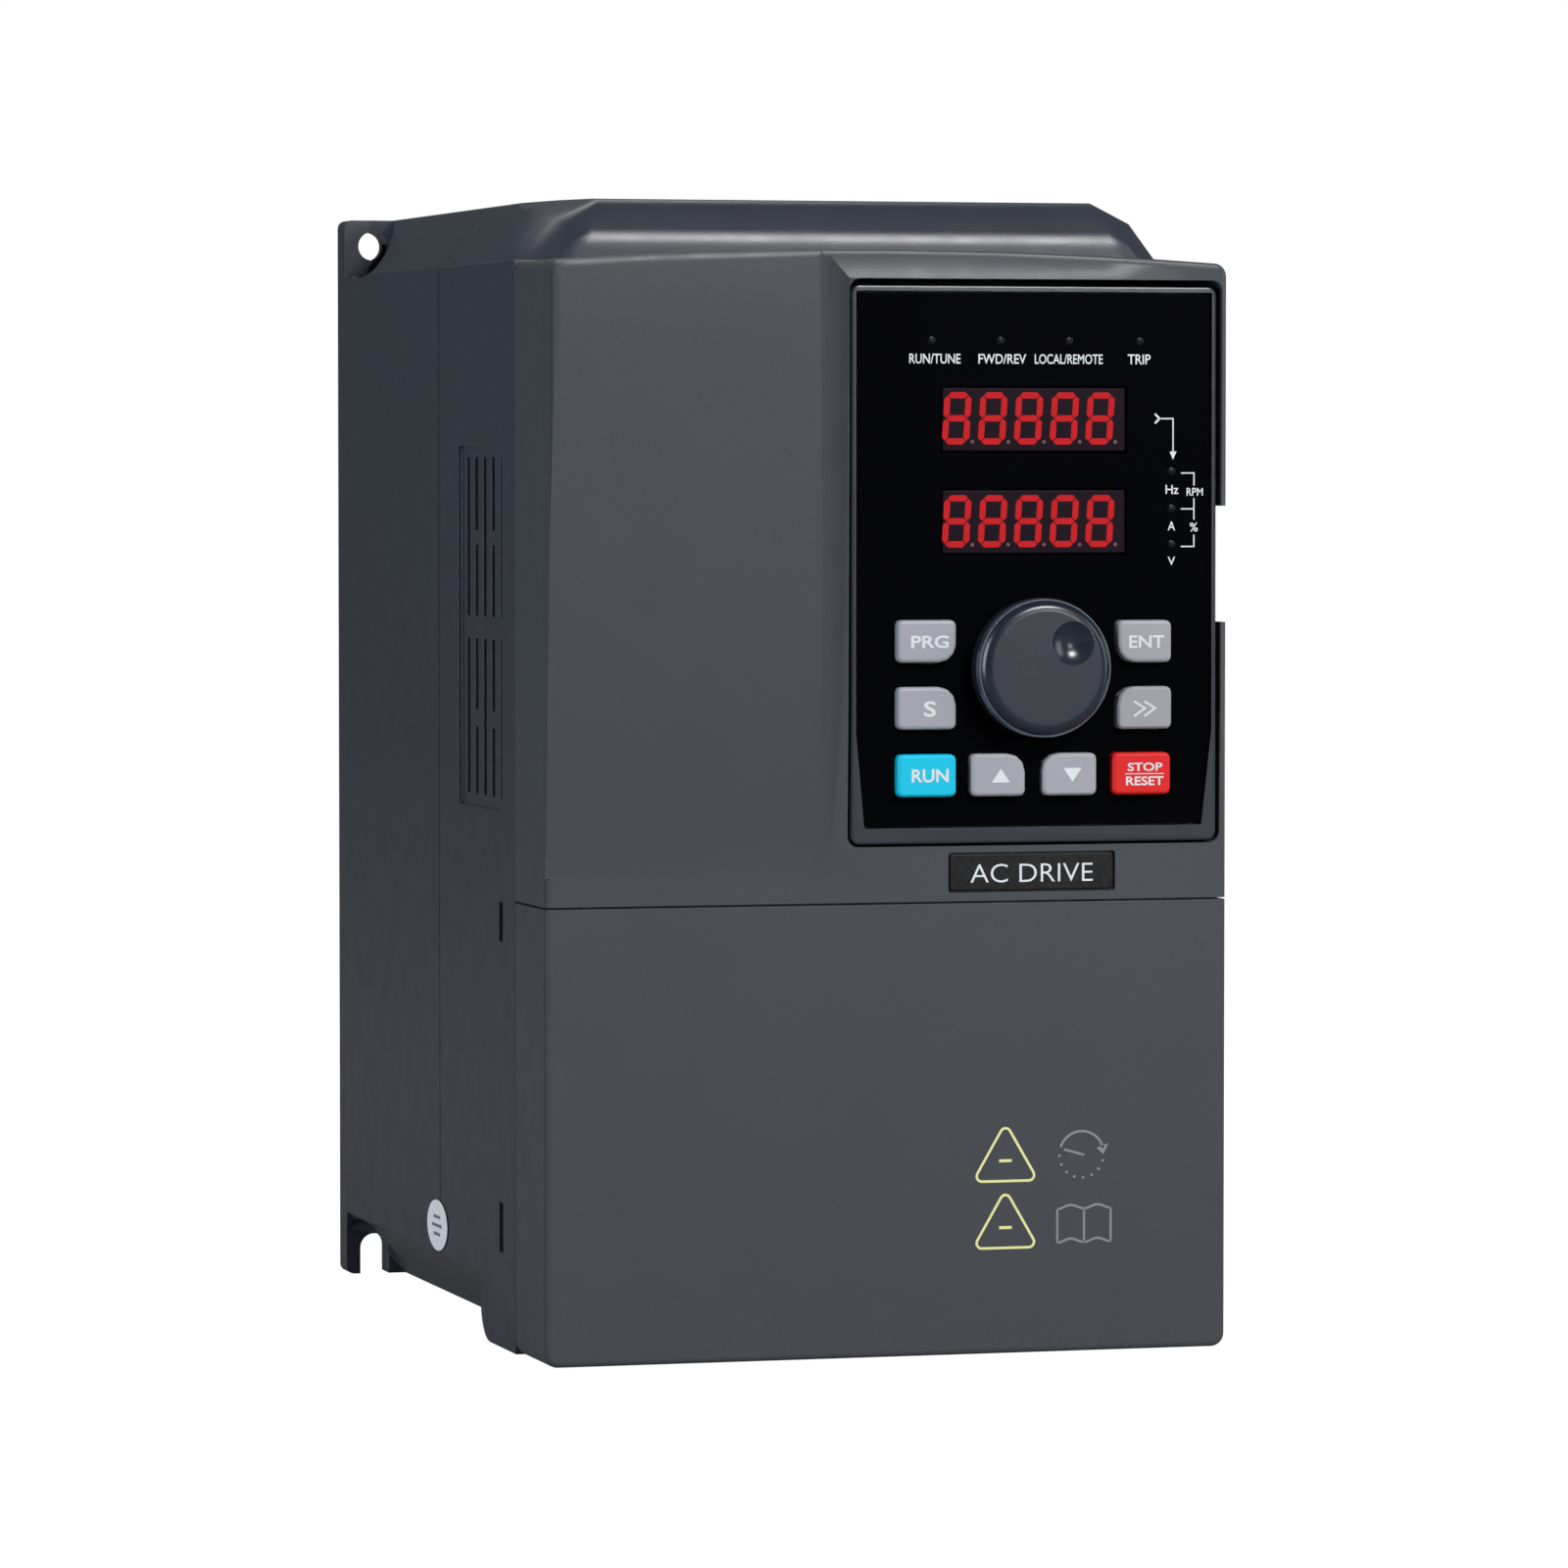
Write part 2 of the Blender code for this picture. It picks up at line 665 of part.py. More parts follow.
def middle_housing():
    back = PARTING - GAP / 2
    levels = [back, *reversed(NOSE_LEVELS), *(y for y, _ in reversed(NOSE_PROFILE))]
    housing = solid("middle_housing", loft("Y", [(y, housing_outline(y)) for y in levels]), CASE)
    foot_corners = rectangle((MIDDLE_FRONT, 0), (FOOT_BACK, FOOT_HEIGHT))
    join(housing, prism("X", round_corners(foot_corners, (0, FOOT_RADIUS, 0, 0)), 0, WIDTH))
    foot_hollow = box((WALL, MIDDLE_FRONT - 1, WALL), (WIDTH - WALL, FOOT_BACK - WALL, FOOT_HEIGHT))
    cut(housing, middle_hollow(), foot_hollow)
    join(housing, chamber_walls())
    board_slot = box(
        (CONTROL_NECK_X[0] - 1, CONTROL_BOARD_FRONT - 1, CHAMBER_TOP - 1),
        (CONTROL_NECK_X[1] + 1, CONTROL_BOARD_FRONT + 3, CHAMBER_TOP + 3),
    )
    pin_slot = box((TERMINAL_X[0] + 6, CHAMBER_BACK - 1, 25), (TERMINAL_X[1] - 6, CHAMBER_BACK + 3, 33))
    cables = [rod("Z", (x, CABLE_HOLE_Y), CABLE_HOLE_RADIUS, -1, WALL + 1, 24) for x in CABLE_HOLES_X]
    sides = (True, False)
    pockets = [vent_pocket(left) for left in sides]
    slots = [slot for left in sides for slot in vent_slots(left) + snap_windows(left)]
    cut(housing, board_slot, pin_slot, several(cables), several(pockets), several(slots))
    return housing


# Front covers.

def arch_height(x):
    """Height of the upper cover's arched top edge."""
    half = MIDDLE_X - COVER_CORNER
    return COVER_TOP_MIDDLE - (COVER_TOP_MIDDLE - COVER_TOP_END) * ((x - MIDDLE_X) / half) ** 2


def shoulder(x_side, towards):
    """The rounded upper corner of the cover, from the side up to the arch's end."""
    points = []
    for i in range(ARC_STEPS):
        angle = math.radians(90 * i / ARC_STEPS)
        x = x_side + towards * COVER_CORNER * (1 - math.cos(angle))
        points.append((x, COVER_TOP_END - COVER_CORNER * (1 - math.sin(angle))))
    return points


def cover_outline():
    """Front view of the upper cover: an arched top between two rounded shoulders."""
    xs = [WIDTH - COVER_CORNER - (WIDTH - 2 * COVER_CORNER) * i / ARCH_STEPS for i in range(ARCH_STEPS + 1)]
    bottom = COVER_SEAM + GAP / 2
    left = list(reversed(shoulder(0.0, 1)))
    return [(0.0, bottom), (WIDTH, bottom)] + shoulder(WIDTH, -1) + [(x, arch_height(x)) for x in xs] + left


def raised_outline(edge):
    """Front view of the raised panel, drawn in by the width of its rounded edge."""
    low = PANEL_PROFILE[0][1] - 1
    top = [(PANEL_RIGHT - edge, arch_height(PANEL_RIGHT) - edge)]
    top += [(x, arch_height(x) - edge) for x in PANEL_ARCH_X]
    corner = [(x + edge, z - edge) for x, z in reversed(shoulder(0.0, 1))]
    top.append((COVER_CORNER + edge, arch_height(COVER_CORNER) - edge))
    return [(edge, low), (PANEL_RIGHT - edge, low)] + top + corner


def raised_panel():
    """The left half of the upper cover, which swells forwards towards its top."""
    step = PANEL_EDGE * PANEL_EDGE_STEP
    sections = [
        (PANEL_ROOT, raised_outline(0.0)),
        (-PANEL_RISE + PANEL_EDGE, raised_outline(PANEL_DRAFT)),
        (-PANEL_RISE + step, raised_outline(step)),
        (-PANEL_RISE, raised_outline(PANEL_EDGE)),
    ]
    panel = hide(solid("raised_panel", loft("Y", sections), COVER))
    low, top, ahead = COVER_SEAM, HEIGHT, -2 * PANEL_RISE
    in_front = [(ahead, low), (0.0, low), *PANEL_PROFILE, (-PANEL_RISE - TOUCH, top), (ahead, top)]
    return cut(panel, prism("X", in_front, -2, PANEL_RIGHT + 2))


def keypad_surround():
    """A low frame round the keypad's pocket, with sloped sides, which fades out towards its bottom."""
    low, pocket_top = SURROUND_PROFILE[0][1], KEYPAD_HIGH[1] + KEYPAD_WIDE_GAP[1]
    (left, right), inner_left = SURROUND_X, KEYPAD_LOW[0] - KEYPAD_GAP
    inner_right = KEYPAD_HIGH[0] + KEYPAD_WIDE_GAP[0]
    shares = [i / ARCH_STEPS for i in range(ARCH_STEPS + 1)]
    outer_top = [right + (left - right) * share for share in shares]
    outer = [(left, low), (right, low)] + [(x, arch_height(x) - SURROUND_MARGIN) for x in outer_top]
    inner = [(inner_left, low), (inner_right, low)]
    inner += [(inner_right + (inner_left - inner_right) * share, pocket_top) for share in shares]
    sections = [(SKIN, outer), (0.0, outer), (-SURROUND_RISE, inner)]
    frame = hide(solid("keypad_surround", loft("Y", sections), COVER))
    ahead = -2 * SURROUND_RISE
    in_front = [(ahead, low - 1), (0.0, low - 1), *SURROUND_PROFILE, (ahead, SURROUND_PROFILE[-1][1])]
    return cut(frame, prism("X", in_front, left - 1, right + 1))


def front_cover():
    base = prism("Y", cover_outline(), 0, COVER_DEPTH)
    seam = COVER_SEAM + GAP
    soften(base, lambda a, b: max(a.y, b.y) < TOUCH and a.z + b.z > 2 * seam, COVER_EDGE)
    cover = solid("front_cover", base, COVER)
    join(cover, raised_panel(), keypad_surround())
    low, top = COVER_SEAM + SKIN, COVER_TOP_END - 2.0
    pocket_x, pocket_z = (KEYPAD_LOW[i] - KEYPAD_GAP - POCKET_SKIN for i in (0, 1))
    right = WIDTH - SKIN
    beside_pocket = [(right, low), (right, pocket_z), (pocket_x, pocket_z), (pocket_x, top)]
    around = [(SKIN, low), *beside_pocket, (SKIN, top)]
    behind = block(((pocket_x - 1, pocket_z - 1), (right, top)), POCKET_FLOOR + POCKET_SKIN, COVER_DEPTH + 1)
    in_panel = block(PANEL_HOLLOW, PANEL_HOLLOW_FRONT, SKIN + 1)
    pocket_low = (KEYPAD_LOW[0] - KEYPAD_GAP, KEYPAD_LOW[1] - KEYPAD_GAP)
    pocket_high = (KEYPAD_HIGH[0] + KEYPAD_WIDE_GAP[0], KEYPAD_HIGH[1] + KEYPAD_WIDE_GAP[1])
    pocket_outline = rounded_rectangle(pocket_low, pocket_high, POCKET_CORNER)
    pocket = prism("Y", pocket_outline, -2 * SURROUND_RISE, POCKET_FLOOR)
    plug_way = plug_block(PLUG_WAY, POCKET_FLOOR - 1, COVER_DEPTH)
    notch_corners = rectangle((-3, NOTCH_Z[0]), (POCKET_FLOOR, NOTCH_Z[1]))
    notch_outline = round_corners(notch_corners, (0, NOTCH_RADIUS, NOTCH_RADIUS, 0))
    notch = prism("X", notch_outline, KEYPAD_HIGH[0] - KEYPAD_GAP, WIDTH + 1)
    label_seat = prism("Y", rounded_rectangle(*NAMEPLATE, NAMEPLATE_CORNER, 2), -1, NAMEPLATE_DEPTH)
    hollow = prism("Y", around, SKIN, COVER_DEPTH + 1)
    return cut(cover, hollow, behind, in_panel, pocket, plug_way, notch, label_seat)


def nameplate():
    (x0, z0), (x1, z1) = NAMEPLATE
    outline = rounded_rectangle((x0 + GAP, z0 + GAP), (x1 - GAP, z1 - GAP), NAMEPLATE_CORNER, 2)
    return solid("nameplate", prism("Y", outline, NAMEPLATE_FACE, NAMEPLATE_DEPTH - GAP), BLACK)


def approval_sticker():
    """A thin oval label on the left side, across the housings' parting line."""
    (y, z), (half_y, half_z) = STICKER_CENTRE, STICKER_RADII
    outline = [(y + half_y * across, z + half_z * up) for across, up in circle((0, 0), 1.0)]
    white = material("white_label", (0.8, 0.8, 0.8), 0.5)
    return solid("sticker", prism("X", outline, -GAP, -STICKER_STANDOFF), white)


def tongue(left, low, high):
    """A straight snap tongue that reaches back behind a window of the middle housing."""
    outer, inner = TONGUE_X
    root, shoulder_y, thin = COVER_DEPTH / 2, COVER_DEPTH - GAP, inner - TONGUE_THICKNESS
    outline = [
        (outer, root), (inner, root), (inner, TONGUE_LENGTH),
        (thin, TONGUE_LENGTH), (thin, shoulder_y), (outer, shoulder_y),
    ]
    top = min(high - TONGUE_CLEARANCE, COVER_SEAM - 3)
    return prism("Z", outline if left else mirrored(outline), low + TONGUE_CLEARANCE, top)


def terminal_cover():
    top = COVER_SEAM - GAP / 2
    outline = round_corners(rectangle((0, 0), (WIDTH, top)), (COVER_CORNER, COVER_CORNER, 0, 0))
    base = prism("Y", outline, 0, COVER_DEPTH)
    soften(base, lambda a, b: max(a.y, b.y) < TOUCH and a.z + b.z < 2 * top - TOUCH, COVER_EDGE)
    cover = solid("terminal_cover", base, COVER, pivot=(MIDDLE_X, 0, top / 2))
    cut(cover, box((SKIN, SKIN, SKIN), (WIDTH - SKIN, COVER_DEPTH + 1, top - SKIN)))
    return join(cover, *[tongue(left, low, high) for left in (True, False) for low, high in WINDOW_ROWS])


# Keypad.

def key_outline(name, grow):
    x, z, width, large = KEYS[name]
    low = (x - width / 2 - grow, z - KEY_HEIGHT / 2 - grow)
    high = (x + width / 2 + grow, z + KEY_HEIGHT / 2 + grow)
    radii = [(KEY_LARGE_CORNER if i == large else KEY_CORNER) + grow for i in range(4)]
    return round_corners(rectangle(low, high), radii, 3)


def face_openings(start, end, shaft_radius):
    """What passes through the keypad's face: displays, keys and the knob's shaft."""
    half_x, half_z = DISPLAY_SIZE[0] / 2, DISPLAY_SIZE[1] / 2
    shapes = [
        box((KEYPAD_AXIS_X - half_x, start, z - half_z), (KEYPAD_AXIS_X + half_x, end, z + half_z))
        for z in DISPLAY_ROWS.values()
    ]
    shapes += [prism("Y", key_outline(name, KEY_CLEARANCE), start, end) for name in KEYS]
    shapes.append(rod("Y", (KNOB_X, KNOB_Z), shaft_radius, start, end, 24))
    return several(shapes)


def keypad_frame(holder):
    outline = rounded_rectangle(KEYPAD_LOW, KEYPAD_HIGH, KEYPAD_CORNER)
    body = prism("Y", outline, KEYPAD_FRONT, KEYPAD_BACK)
    soften(body, lambda a, b: max(a.y, b.y) < KEYPAD_FRONT + TOUCH, KEYPAD_EDGE, 2)
    frame = solid("keypad_frame", body, KEYPAD, (KNOB_X, 0, KNOB_Z), holder)
    recess = prism("Y", inset(PANEL_CORNERS, -PANEL_CLEARANCE), KEYPAD_FRONT - 1, PLATE_FRONT)
    low = (KEYPAD_LOW[0] + KEYPAD_WALL, PLATE_BACK, KEYPAD_LOW[1] + KEYPAD_WALL)
    high = (KEYPAD_HIGH[0] - KEYPAD_WALL, KEYPAD_BACK + 1, KEYPAD_HIGH[1] - KEYPAD_WALL)
    openings = face_openings(PLATE_FRONT - 1, PLATE_BACK + 1, PLATE_SHAFT_HOLE)
    return cut(frame, recess, box(low, high), openings)


def keypad_panel(holder):
    outline = round_corners(PANEL_CORNERS, PANEL_CORNER_RADII, 3)
    body = prism("Y", outline, PANEL_FACE, PANEL_BACK)
    panel = solid("keypad_panel", body, GLOSS, (KNOB_X, 0, KNOB_Z), holder)
    return cut(panel, face_openings(PANEL_FACE - 1, PANEL_BACK + 1, PANEL_SHAFT_HOLE))


def displays(holder):
    smoke = material("display_window", (0.03, 0.012, 0.016), 0.15)
    half_x, half_z = DISPLAY_SIZE[0] / 2 - GAP, DISPLAY_SIZE[1] / 2 - GAP
    for name, z in DISPLAY_ROWS.items():
        face = (KEYPAD_AXIS_X - half_x, z - half_z), (KEYPAD_AXIS_X + half_x, z + half_z)
        solid(name, block(face, DISPLAY_FACE, KEYPAD_BOARD_FRONT - GAP), smoke, parent=holder)


def encoder(holder):
    """The rotary encoder's body behind the dial, and its shaft."""
    axis = (KNOB_X, KNOB_Z)
    body = block(square(axis, ENCODER_HALF), ENCODER_FACE, KEYPAD_BOARD_FRONT - GAP)
    made = solid("encoder_body", body, STEEL, parent=holder)
    cut(made, rod("Y", axis, SHAFT_RADIUS + SHAFT_CLEARANCE, 0, KEYPAD_BOARD_FRONT + 1, 24))
    shaft = rod("Y", axis, SHAFT_RADIUS, KNOB_BACK - SHAFT_INTO_KNOB, SHAFT_END, 24)
    solid("encoder_shaft", shaft, STEEL, (axis[0], KNOB_BACK, axis[1]), holder)


def key_mat(holder):
    """A rubber sheet with a dome behind each key, open round the encoder."""
    rubber = material("silicone", (0.35, 0.35, 0.36), 0.7)
    back = KEYPAD_BOARD_FRONT - GAP
    mat = solid("key_mat", block(KEY_MAT, KEY_MAT_FACE, back), rubber, parent=holder)
    domes = [rod("Y", (x, z), DOME_RADIUS, *DOME_Y, 12) for x, z, _, _ in KEYS.values()]
    join(mat, several(domes))
    return cut(mat, block(square((KNOB_X, KNOB_Z), ENCODER_HALF + ENCODER_CLEARANCE), 0, back + 1))


def keypad_inside(holder):
    """Displays, circuit board, encoder, key mat, back shell and plug of the keypad."""
    displays(holder)
    encoder(holder)
    key_mat(holder)
    board_back = KEYPAD_BOARD_FRONT + BOARD_THICKNESS
    solid("keypad_board", block(KEYPAD_BOARD, KEYPAD_BOARD_FRONT, board_back), BOARD, parent=holder)
    low = [edge + KEYPAD_BACK_INSET for edge in KEYPAD_LOW]
    high = [edge - KEYPAD_BACK_INSET for edge in KEYPAD_HIGH]
    outline = rounded_rectangle(low, high, KEYPAD_BACK_CORNER)
    shell = prism("Y", outline, KEYPAD_BACK + GAP, KEYPAD_BACK_END)
    back = solid("keypad_back", shell, KEYPAD, parent=holder)
    cut(back, plug_block(GAP, board_back, PLUG_END))
    clear = material("clear_plastic", (0.7, 0.72, 0.74), 0.2)
    solid("keypad_plug", plug_block(0.0, board_back + GAP, PLUG_END), clear, parent=holder)


def plug_block(grow, start, end):
    """Room for the keypad's plug, grown on every side."""
    half_x, half_z = PLUG_SIZE[0] / 2 + grow, PLUG_SIZE[1] / 2 + grow
    face = (KEYPAD_AXIS_X - half_x, PLUG_Z - half_z), (KEYPAD_AXIS_X + half_x, PLUG_Z + half_z)
    return block(face, start, end)


def knob(holder):
    """The dial, with a blind bore for the encoder's shaft and a finger dimple on its face."""
    axis = (KNOB_X, KNOB_Z)
    profile = [(KNOB_BACK, KNOB_RADIUS - KNOB_CHAMFER), (KNOB_BACK - KNOB_CHAMFER, KNOB_RADIUS)]
    profile += [(KNOB_FRONT + behind, KNOB_RADIUS - inside) for behind, inside in KNOB_ROUNDING]
    body = turned("Y", axis, profile, KNOB_STEPS)
    made = solid("knob", body, KEYPAD, (axis[0], KNOB_BACK, axis[1]), holder)
    ball_radius = (KNOB_DIMPLE_RADIUS ** 2 + KNOB_DIMPLE_DEPTH ** 2) / (2 * KNOB_DIMPLE_DEPTH)
    ball = bmesh.new()
    bmesh.ops.create_uvsphere(ball, u_segments=32, v_segments=24, radius=ball_radius * MM)
    ball_centre = (
        axis[0] + KNOB_DIMPLE[0],
        KNOB_FRONT + KNOB_DIMPLE_DEPTH - ball_radius,
        axis[1] + KNOB_DIMPLE[1],
    )
    ball.transform(Matrix.Translation(in_frame(ball_centre)) @ Matrix.Rotation(math.radians(90), 4, "X"))
    bore_end = KNOB_BACK - SHAFT_INTO_KNOB - GAP
    bore = rod("Y", axis, SHAFT_RADIUS + SHAFT_CLEARANCE, bore_end, KNOB_BACK + 1, 24)
    return cut(made, ball, bore)


def keys(holder):
    """Eight keys, each with a flange behind the face plate that keeps it in."""
    colours = {"key_run": (0.0, 0.42, 0.72), "key_stop": (0.62, 0.02, 0.025)}
    for name, (x, z, _, _) in KEYS.items():
        cap = key_outline(name, 0.0)
        small = key_outline(name, -KEY_EDGE)
        flange = key_outline(name, KEY_FLANGE)
        front, back = KEY_FLANGE_Y
        sections = [
            (KEY_FACE, small),
            (KEY_FACE + KEY_EDGE, cap),
            (front, cap),
            (front, flange),
            (back, flange),
        ]
        finish = material(name, colours.get(name, (0.36, 0.36, 0.39)), 0.4)
        solid(name, loft("Y", sections), finish, (x, KEY_FACE, z), holder)


# Cooling.

def heatsink():
    """An extrusion: a base plate with fins that reach the back plane."""
    base_front, base_back = HEATSINK_BASE
    half = CENTRE_FIN_THICKNESS / 2
    fins = [(MIDDLE_X - half, MIDDLE_X + half)]
    for i in range(FINS_EACH_SIDE):
        offset = FIRST_FIN + FIN_PITCH * i
        for side in (-1, 1):
            centre = MIDDLE_X + side * offset
            fins.append((centre - FIN_THICKNESS / 2, centre + FIN_THICKNESS / 2))
    outline = [(HEATSINK_X[0], base_front), (HEATSINK_X[1], base_front), (HEATSINK_X[1], base_back)]
    for x0, x1 in sorted(fins, reverse=True):
        outline += [(x1, base_back), (x1, DEPTH), (x0, DEPTH), (x0, base_back)]
    outline.append((HEATSINK_X[0], base_back))
    return solid("heatsink", prism("Z", outline, *HEATSINK_Z), ALUMINIUM)


def fan_frame():
    low, high = square((MIDDLE_X, FAN_Y), FAN_SIZE / 2)
    frame = solid("fan_frame", prism("Z", rounded_rectangle(low, high, FAN_CORNER), *FAN_Z), BLACK)
    centre = (MIDDLE_X, FAN_Y)
    cut(frame, rod("Z", centre, FAN_BORE, FAN_Z[0] - 1, FAN_Z[1] + 1, 36))
    arms_top = FAN_Z[0] + FAN_ARM_HEIGHT
    bar = box((low[0] + 1, FAN_Y - FAN_ARM, FAN_Z[0]), (high[0] - 1, FAN_Y + FAN_ARM, arms_top))
    cross = box((MIDDLE_X - FAN_ARM, low[1] + 1, FAN_Z[0]), (MIDDLE_X + FAN_ARM, high[1] - 1, arms_top))
    return join(frame, bar, cross, rod("Z", centre, FAN_HUB - 0.5, FAN_Z[0], arms_top, 24))


def fan_impeller():
    """A hub with blades that twist as they rise, turning inside the frame's bore."""
    centre = (MIDDLE_X, FAN_Y)
    low, high = IMPELLER_Z
    middle = (*centre, (low + high) / 2)
    impeller = solid("fan_impeller", rod("Z", centre, FAN_HUB, low, high, 28), BLACK, middle)
    reach = FAN_BORE - FAN_TIP_GAP
    for i in range(FAN_BLADES):
        root = (MIDDLE_X + FAN_HUB - 1.5, FAN_Y - FAN_BLADE, low - 1)
        blade = box(root, (MIDDLE_X + reach, FAN_Y + FAN_BLADE, high + 1))
        there = Matrix.Translation(in_frame(middle))
        spin = Matrix.Rotation(math.tau * i / FAN_BLADES, 4, "Z") @ Matrix.Rotation(FAN_BLADE_LEAN, 4, "X")
        blade.transform(there @ spin @ there.inverted())
        join(impeller, blade)
    return keep_inside(impeller, rod("Z", centre, reach, low, high, 36))


def fan_cover():
    """A grille that drops into the top of the case, with a skirt round the fan's outlet."""
    centre, half = (MIDDLE_X, FAN_Y), FAN_OPENING / 2 - GAP
    outline = rounded_rectangle(*square(centre, half), GRILLE_CORNER, 2)
    body = prism("Z", outline, HEIGHT - GRILLE_SKIRT, HEIGHT)
    cover = solid("fan_cover", body, CASE, (MIDDLE_X, FAN_Y, HEIGHT))
    low, high = square(centre, half - GRILLE_RIM)
    inner = box((*low, HEIGHT - GRILLE_SKIRT - 1), (*high, HEIGHT - GRILLE_THICKNESS))
    reach = half - 4
    left = (MIDDLE_X - reach, MIDDLE_X - GRILLE_SPINE)
    right = (MIDDLE_X + GRILLE_SPINE, MIDDLE_X + reach)
    slots = []
    for i in GRILLE_SLOTS:
        y = FAN_Y + i * GRILLE_PITCH
        for x0, x1 in (left, right):
            slots.append(box((x0, y - GRILLE_SLOT / 2, HEIGHT - 4), (x1, y + GRILLE_SLOT / 2, HEIGHT + 1)))
    return cut(cover, inner, several(slots))


# Electronics.

def control_board():
    """The board behind the front cover, whose neck reaches down to the control terminals."""
    neck_left, right = CONTROL_NECK_X
    outline = [
        (neck_left, CONTROL_NECK_LOW),
        (right, CONTROL_NECK_LOW),
        (right, CONTROL_BOARD_TOP),
        (BOARD_LEFT, CONTROL_BOARD_TOP),
        (BOARD_LEFT, CONTROL_SHOULDER),
        (neck_left, CONTROL_SHOULDER),
    ]
    front = CONTROL_BOARD_FRONT
    solid("control_board", prism("Y", outline, front, front + BOARD_THICKNESS), BOARD)
    solid("processor", block(PROCESSOR, front - PROCESSOR_HEIGHT, front - GAP), BLACK)
    green = material("terminal_green", (0.03, 0.22, 0.1), 0.5)
    block_front = front - CONTROL_TERMINAL_DEPTH
    made = solid("control_terminal_block", block(CONTROL_TERMINALS, block_front, front - GAP), green)
    (x0, z0), (_, z1) = CONTROL_TERMINALS
    entries = []
    for i in range(CONTROL_TERMINAL_WAYS):
        x = x0 + CONTROL_TERMINAL_PITCH * i + CONTROL_TERMINAL_WEB
        face = (x, z0 + 2), (x + CONTROL_TERMINAL_PITCH - CONTROL_TERMINAL_WEB, z1 - 2)
        entries.append(block(face, block_front - 1, block_front + 4))
    cut(made, several(entries))
    socket = solid("keypad_socket", plug_block(SOCKET_WALL, SOCKET_FRONT, front - GAP), BLACK)
    cut(socket, plug_block(SOCKET_CLEARANCE, COVER_DEPTH, PLUG_END + 1))


def power_board():
    """The board over the heatsink, with the power module behind it and tall parts in front."""
    front = POWER_BOARD_FRONT
    solid("power_board", block(POWER_BOARD, front, front + BOARD_THICKNESS), BOARD)
    module = block(POWER_MODULE, front + BOARD_THICKNESS + GAP, HEATSINK_BASE[0] - GAP)
    solid("igbt_module", module, BLACK)
    sleeve = material("capacitor_sleeve", (0.02, 0.02, 0.03), 0.35)
    radius, face = CAPACITOR_RADIUS, CAPACITOR_FRONT
    for number, centre in enumerate(CAPACITOR_CENTRES, 1):
        profile = [(face, radius - 1), (face + 1, radius), (front - GAP, radius)]
        solid(f"bus_capacitor_{number}", turned("Y", centre, profile, 28), sleeve)
    core = solid("transformer", block(TRANSFORMER_CORE, TRANSFORMER_FRONT, front - GAP), STEEL)
    join(core, block(TRANSFORMER_COIL, TRANSFORMER_FRONT - 4, front - 1))
    white = material("relay_white", (0.6, 0.6, 0.58), 0.45)
    solid("charge_relay", block(RELAY, front - RELAY_DEPTH, front - GAP), white)
    start = CONTROL_BOARD_FRONT + BOARD_THICKNESS + GAP
    run = [(start, RIBBON_Z), *RIBBON_SAG, (front - GAP, RIBBON_Z)]
    ribbon = run + [(y, z + RIBBON_THICKNESS) for y, z in reversed(run)]
    grey = material("ribbon_grey", (0.3, 0.3, 0.32), 0.6)
    solid("ribbon_cable", prism("X", ribbon, *RIBBON_X), grey)


def terminals():
    """The power terminals, their screws, the earth bar and its screws."""
    x0, x1 = TERMINAL_X
    pitch = (x1 - x0) / TERMINAL_POLES
    outline = [(x0, CHAMBER_BACK - GAP), (x0, TERMINAL_FRONT)]
    for pole in range(TERMINAL_POLES):
        start, end = x0 + pitch * pole, x0 + pitch * (pole + 1)
        outline += [(start + TERMINAL_BARRIER, TERMINAL_FRONT), (start + TERMINAL_BARRIER, TERMINAL_SEAT)]
        outline += [(end - TERMINAL_BARRIER, TERMINAL_SEAT), (end - TERMINAL_BARRIER, TERMINAL_FRONT)]
    outline += [(x1, TERMINAL_FRONT), (x1, CHAMBER_BACK - GAP)]
    solid("power_terminal_block", prism("Z", outline, *TERMINAL_Z), BLACK)
    height = sum(TERMINAL_Z) / 2
    for pole in range(TERMINAL_POLES):
        centre = (x0 + pitch * (pole + 0.5), height)
        screw(f"terminal_screw_{pole + 1}", centre, TERMINAL_SEAT - GAP, SCREW_RADIUS)
    solid("earth_bar", block(EARTH_BAR, EARTH_BAR_FRONT, EARTH_BAR_FRONT + 2), STEEL)
    for number, centre in enumerate(EARTH_SCREWS, 1):
        screw(f"earth_screw_{number}", centre, EARTH_BAR_FRONT - GAP, SCREW_RADIUS)


def screw(name, centre, seat, radius, back=-1):
    """A cross-slotted screw head standing on its seat; back is -1 where it stands towards -Y."""
    face = seat + back * SCREW_HEIGHT
    profile = [(seat, radius), (seat + back * SCREW_SHOULDER, radius), (face, radius * SCREW_CROWN)]
    made = solid(name, turned("Y", centre, profile, 16), STEEL)
    x, z = centre
    reach = radius * SCREW_CROSS
    y0, y1 = sorted((face - back * SCREW_SLIT_DEPTH, face + back))
    cut(made, box((x - reach, y0, z - SCREW_SLIT), (x + reach, y1, z + SCREW_SLIT)))
    return cut(made, box((x - SCREW_SLIT, y0, z - reach), (x + SCREW_SLIT, y1, z + reach)))


def case_screws():
    for number, centre in enumerate(CASE_SCREWS, 1):
        screw(f"case_screw_{number}", centre, CASE_SCREW_SEAT, CASE_SCREW_RADIUS, 1)


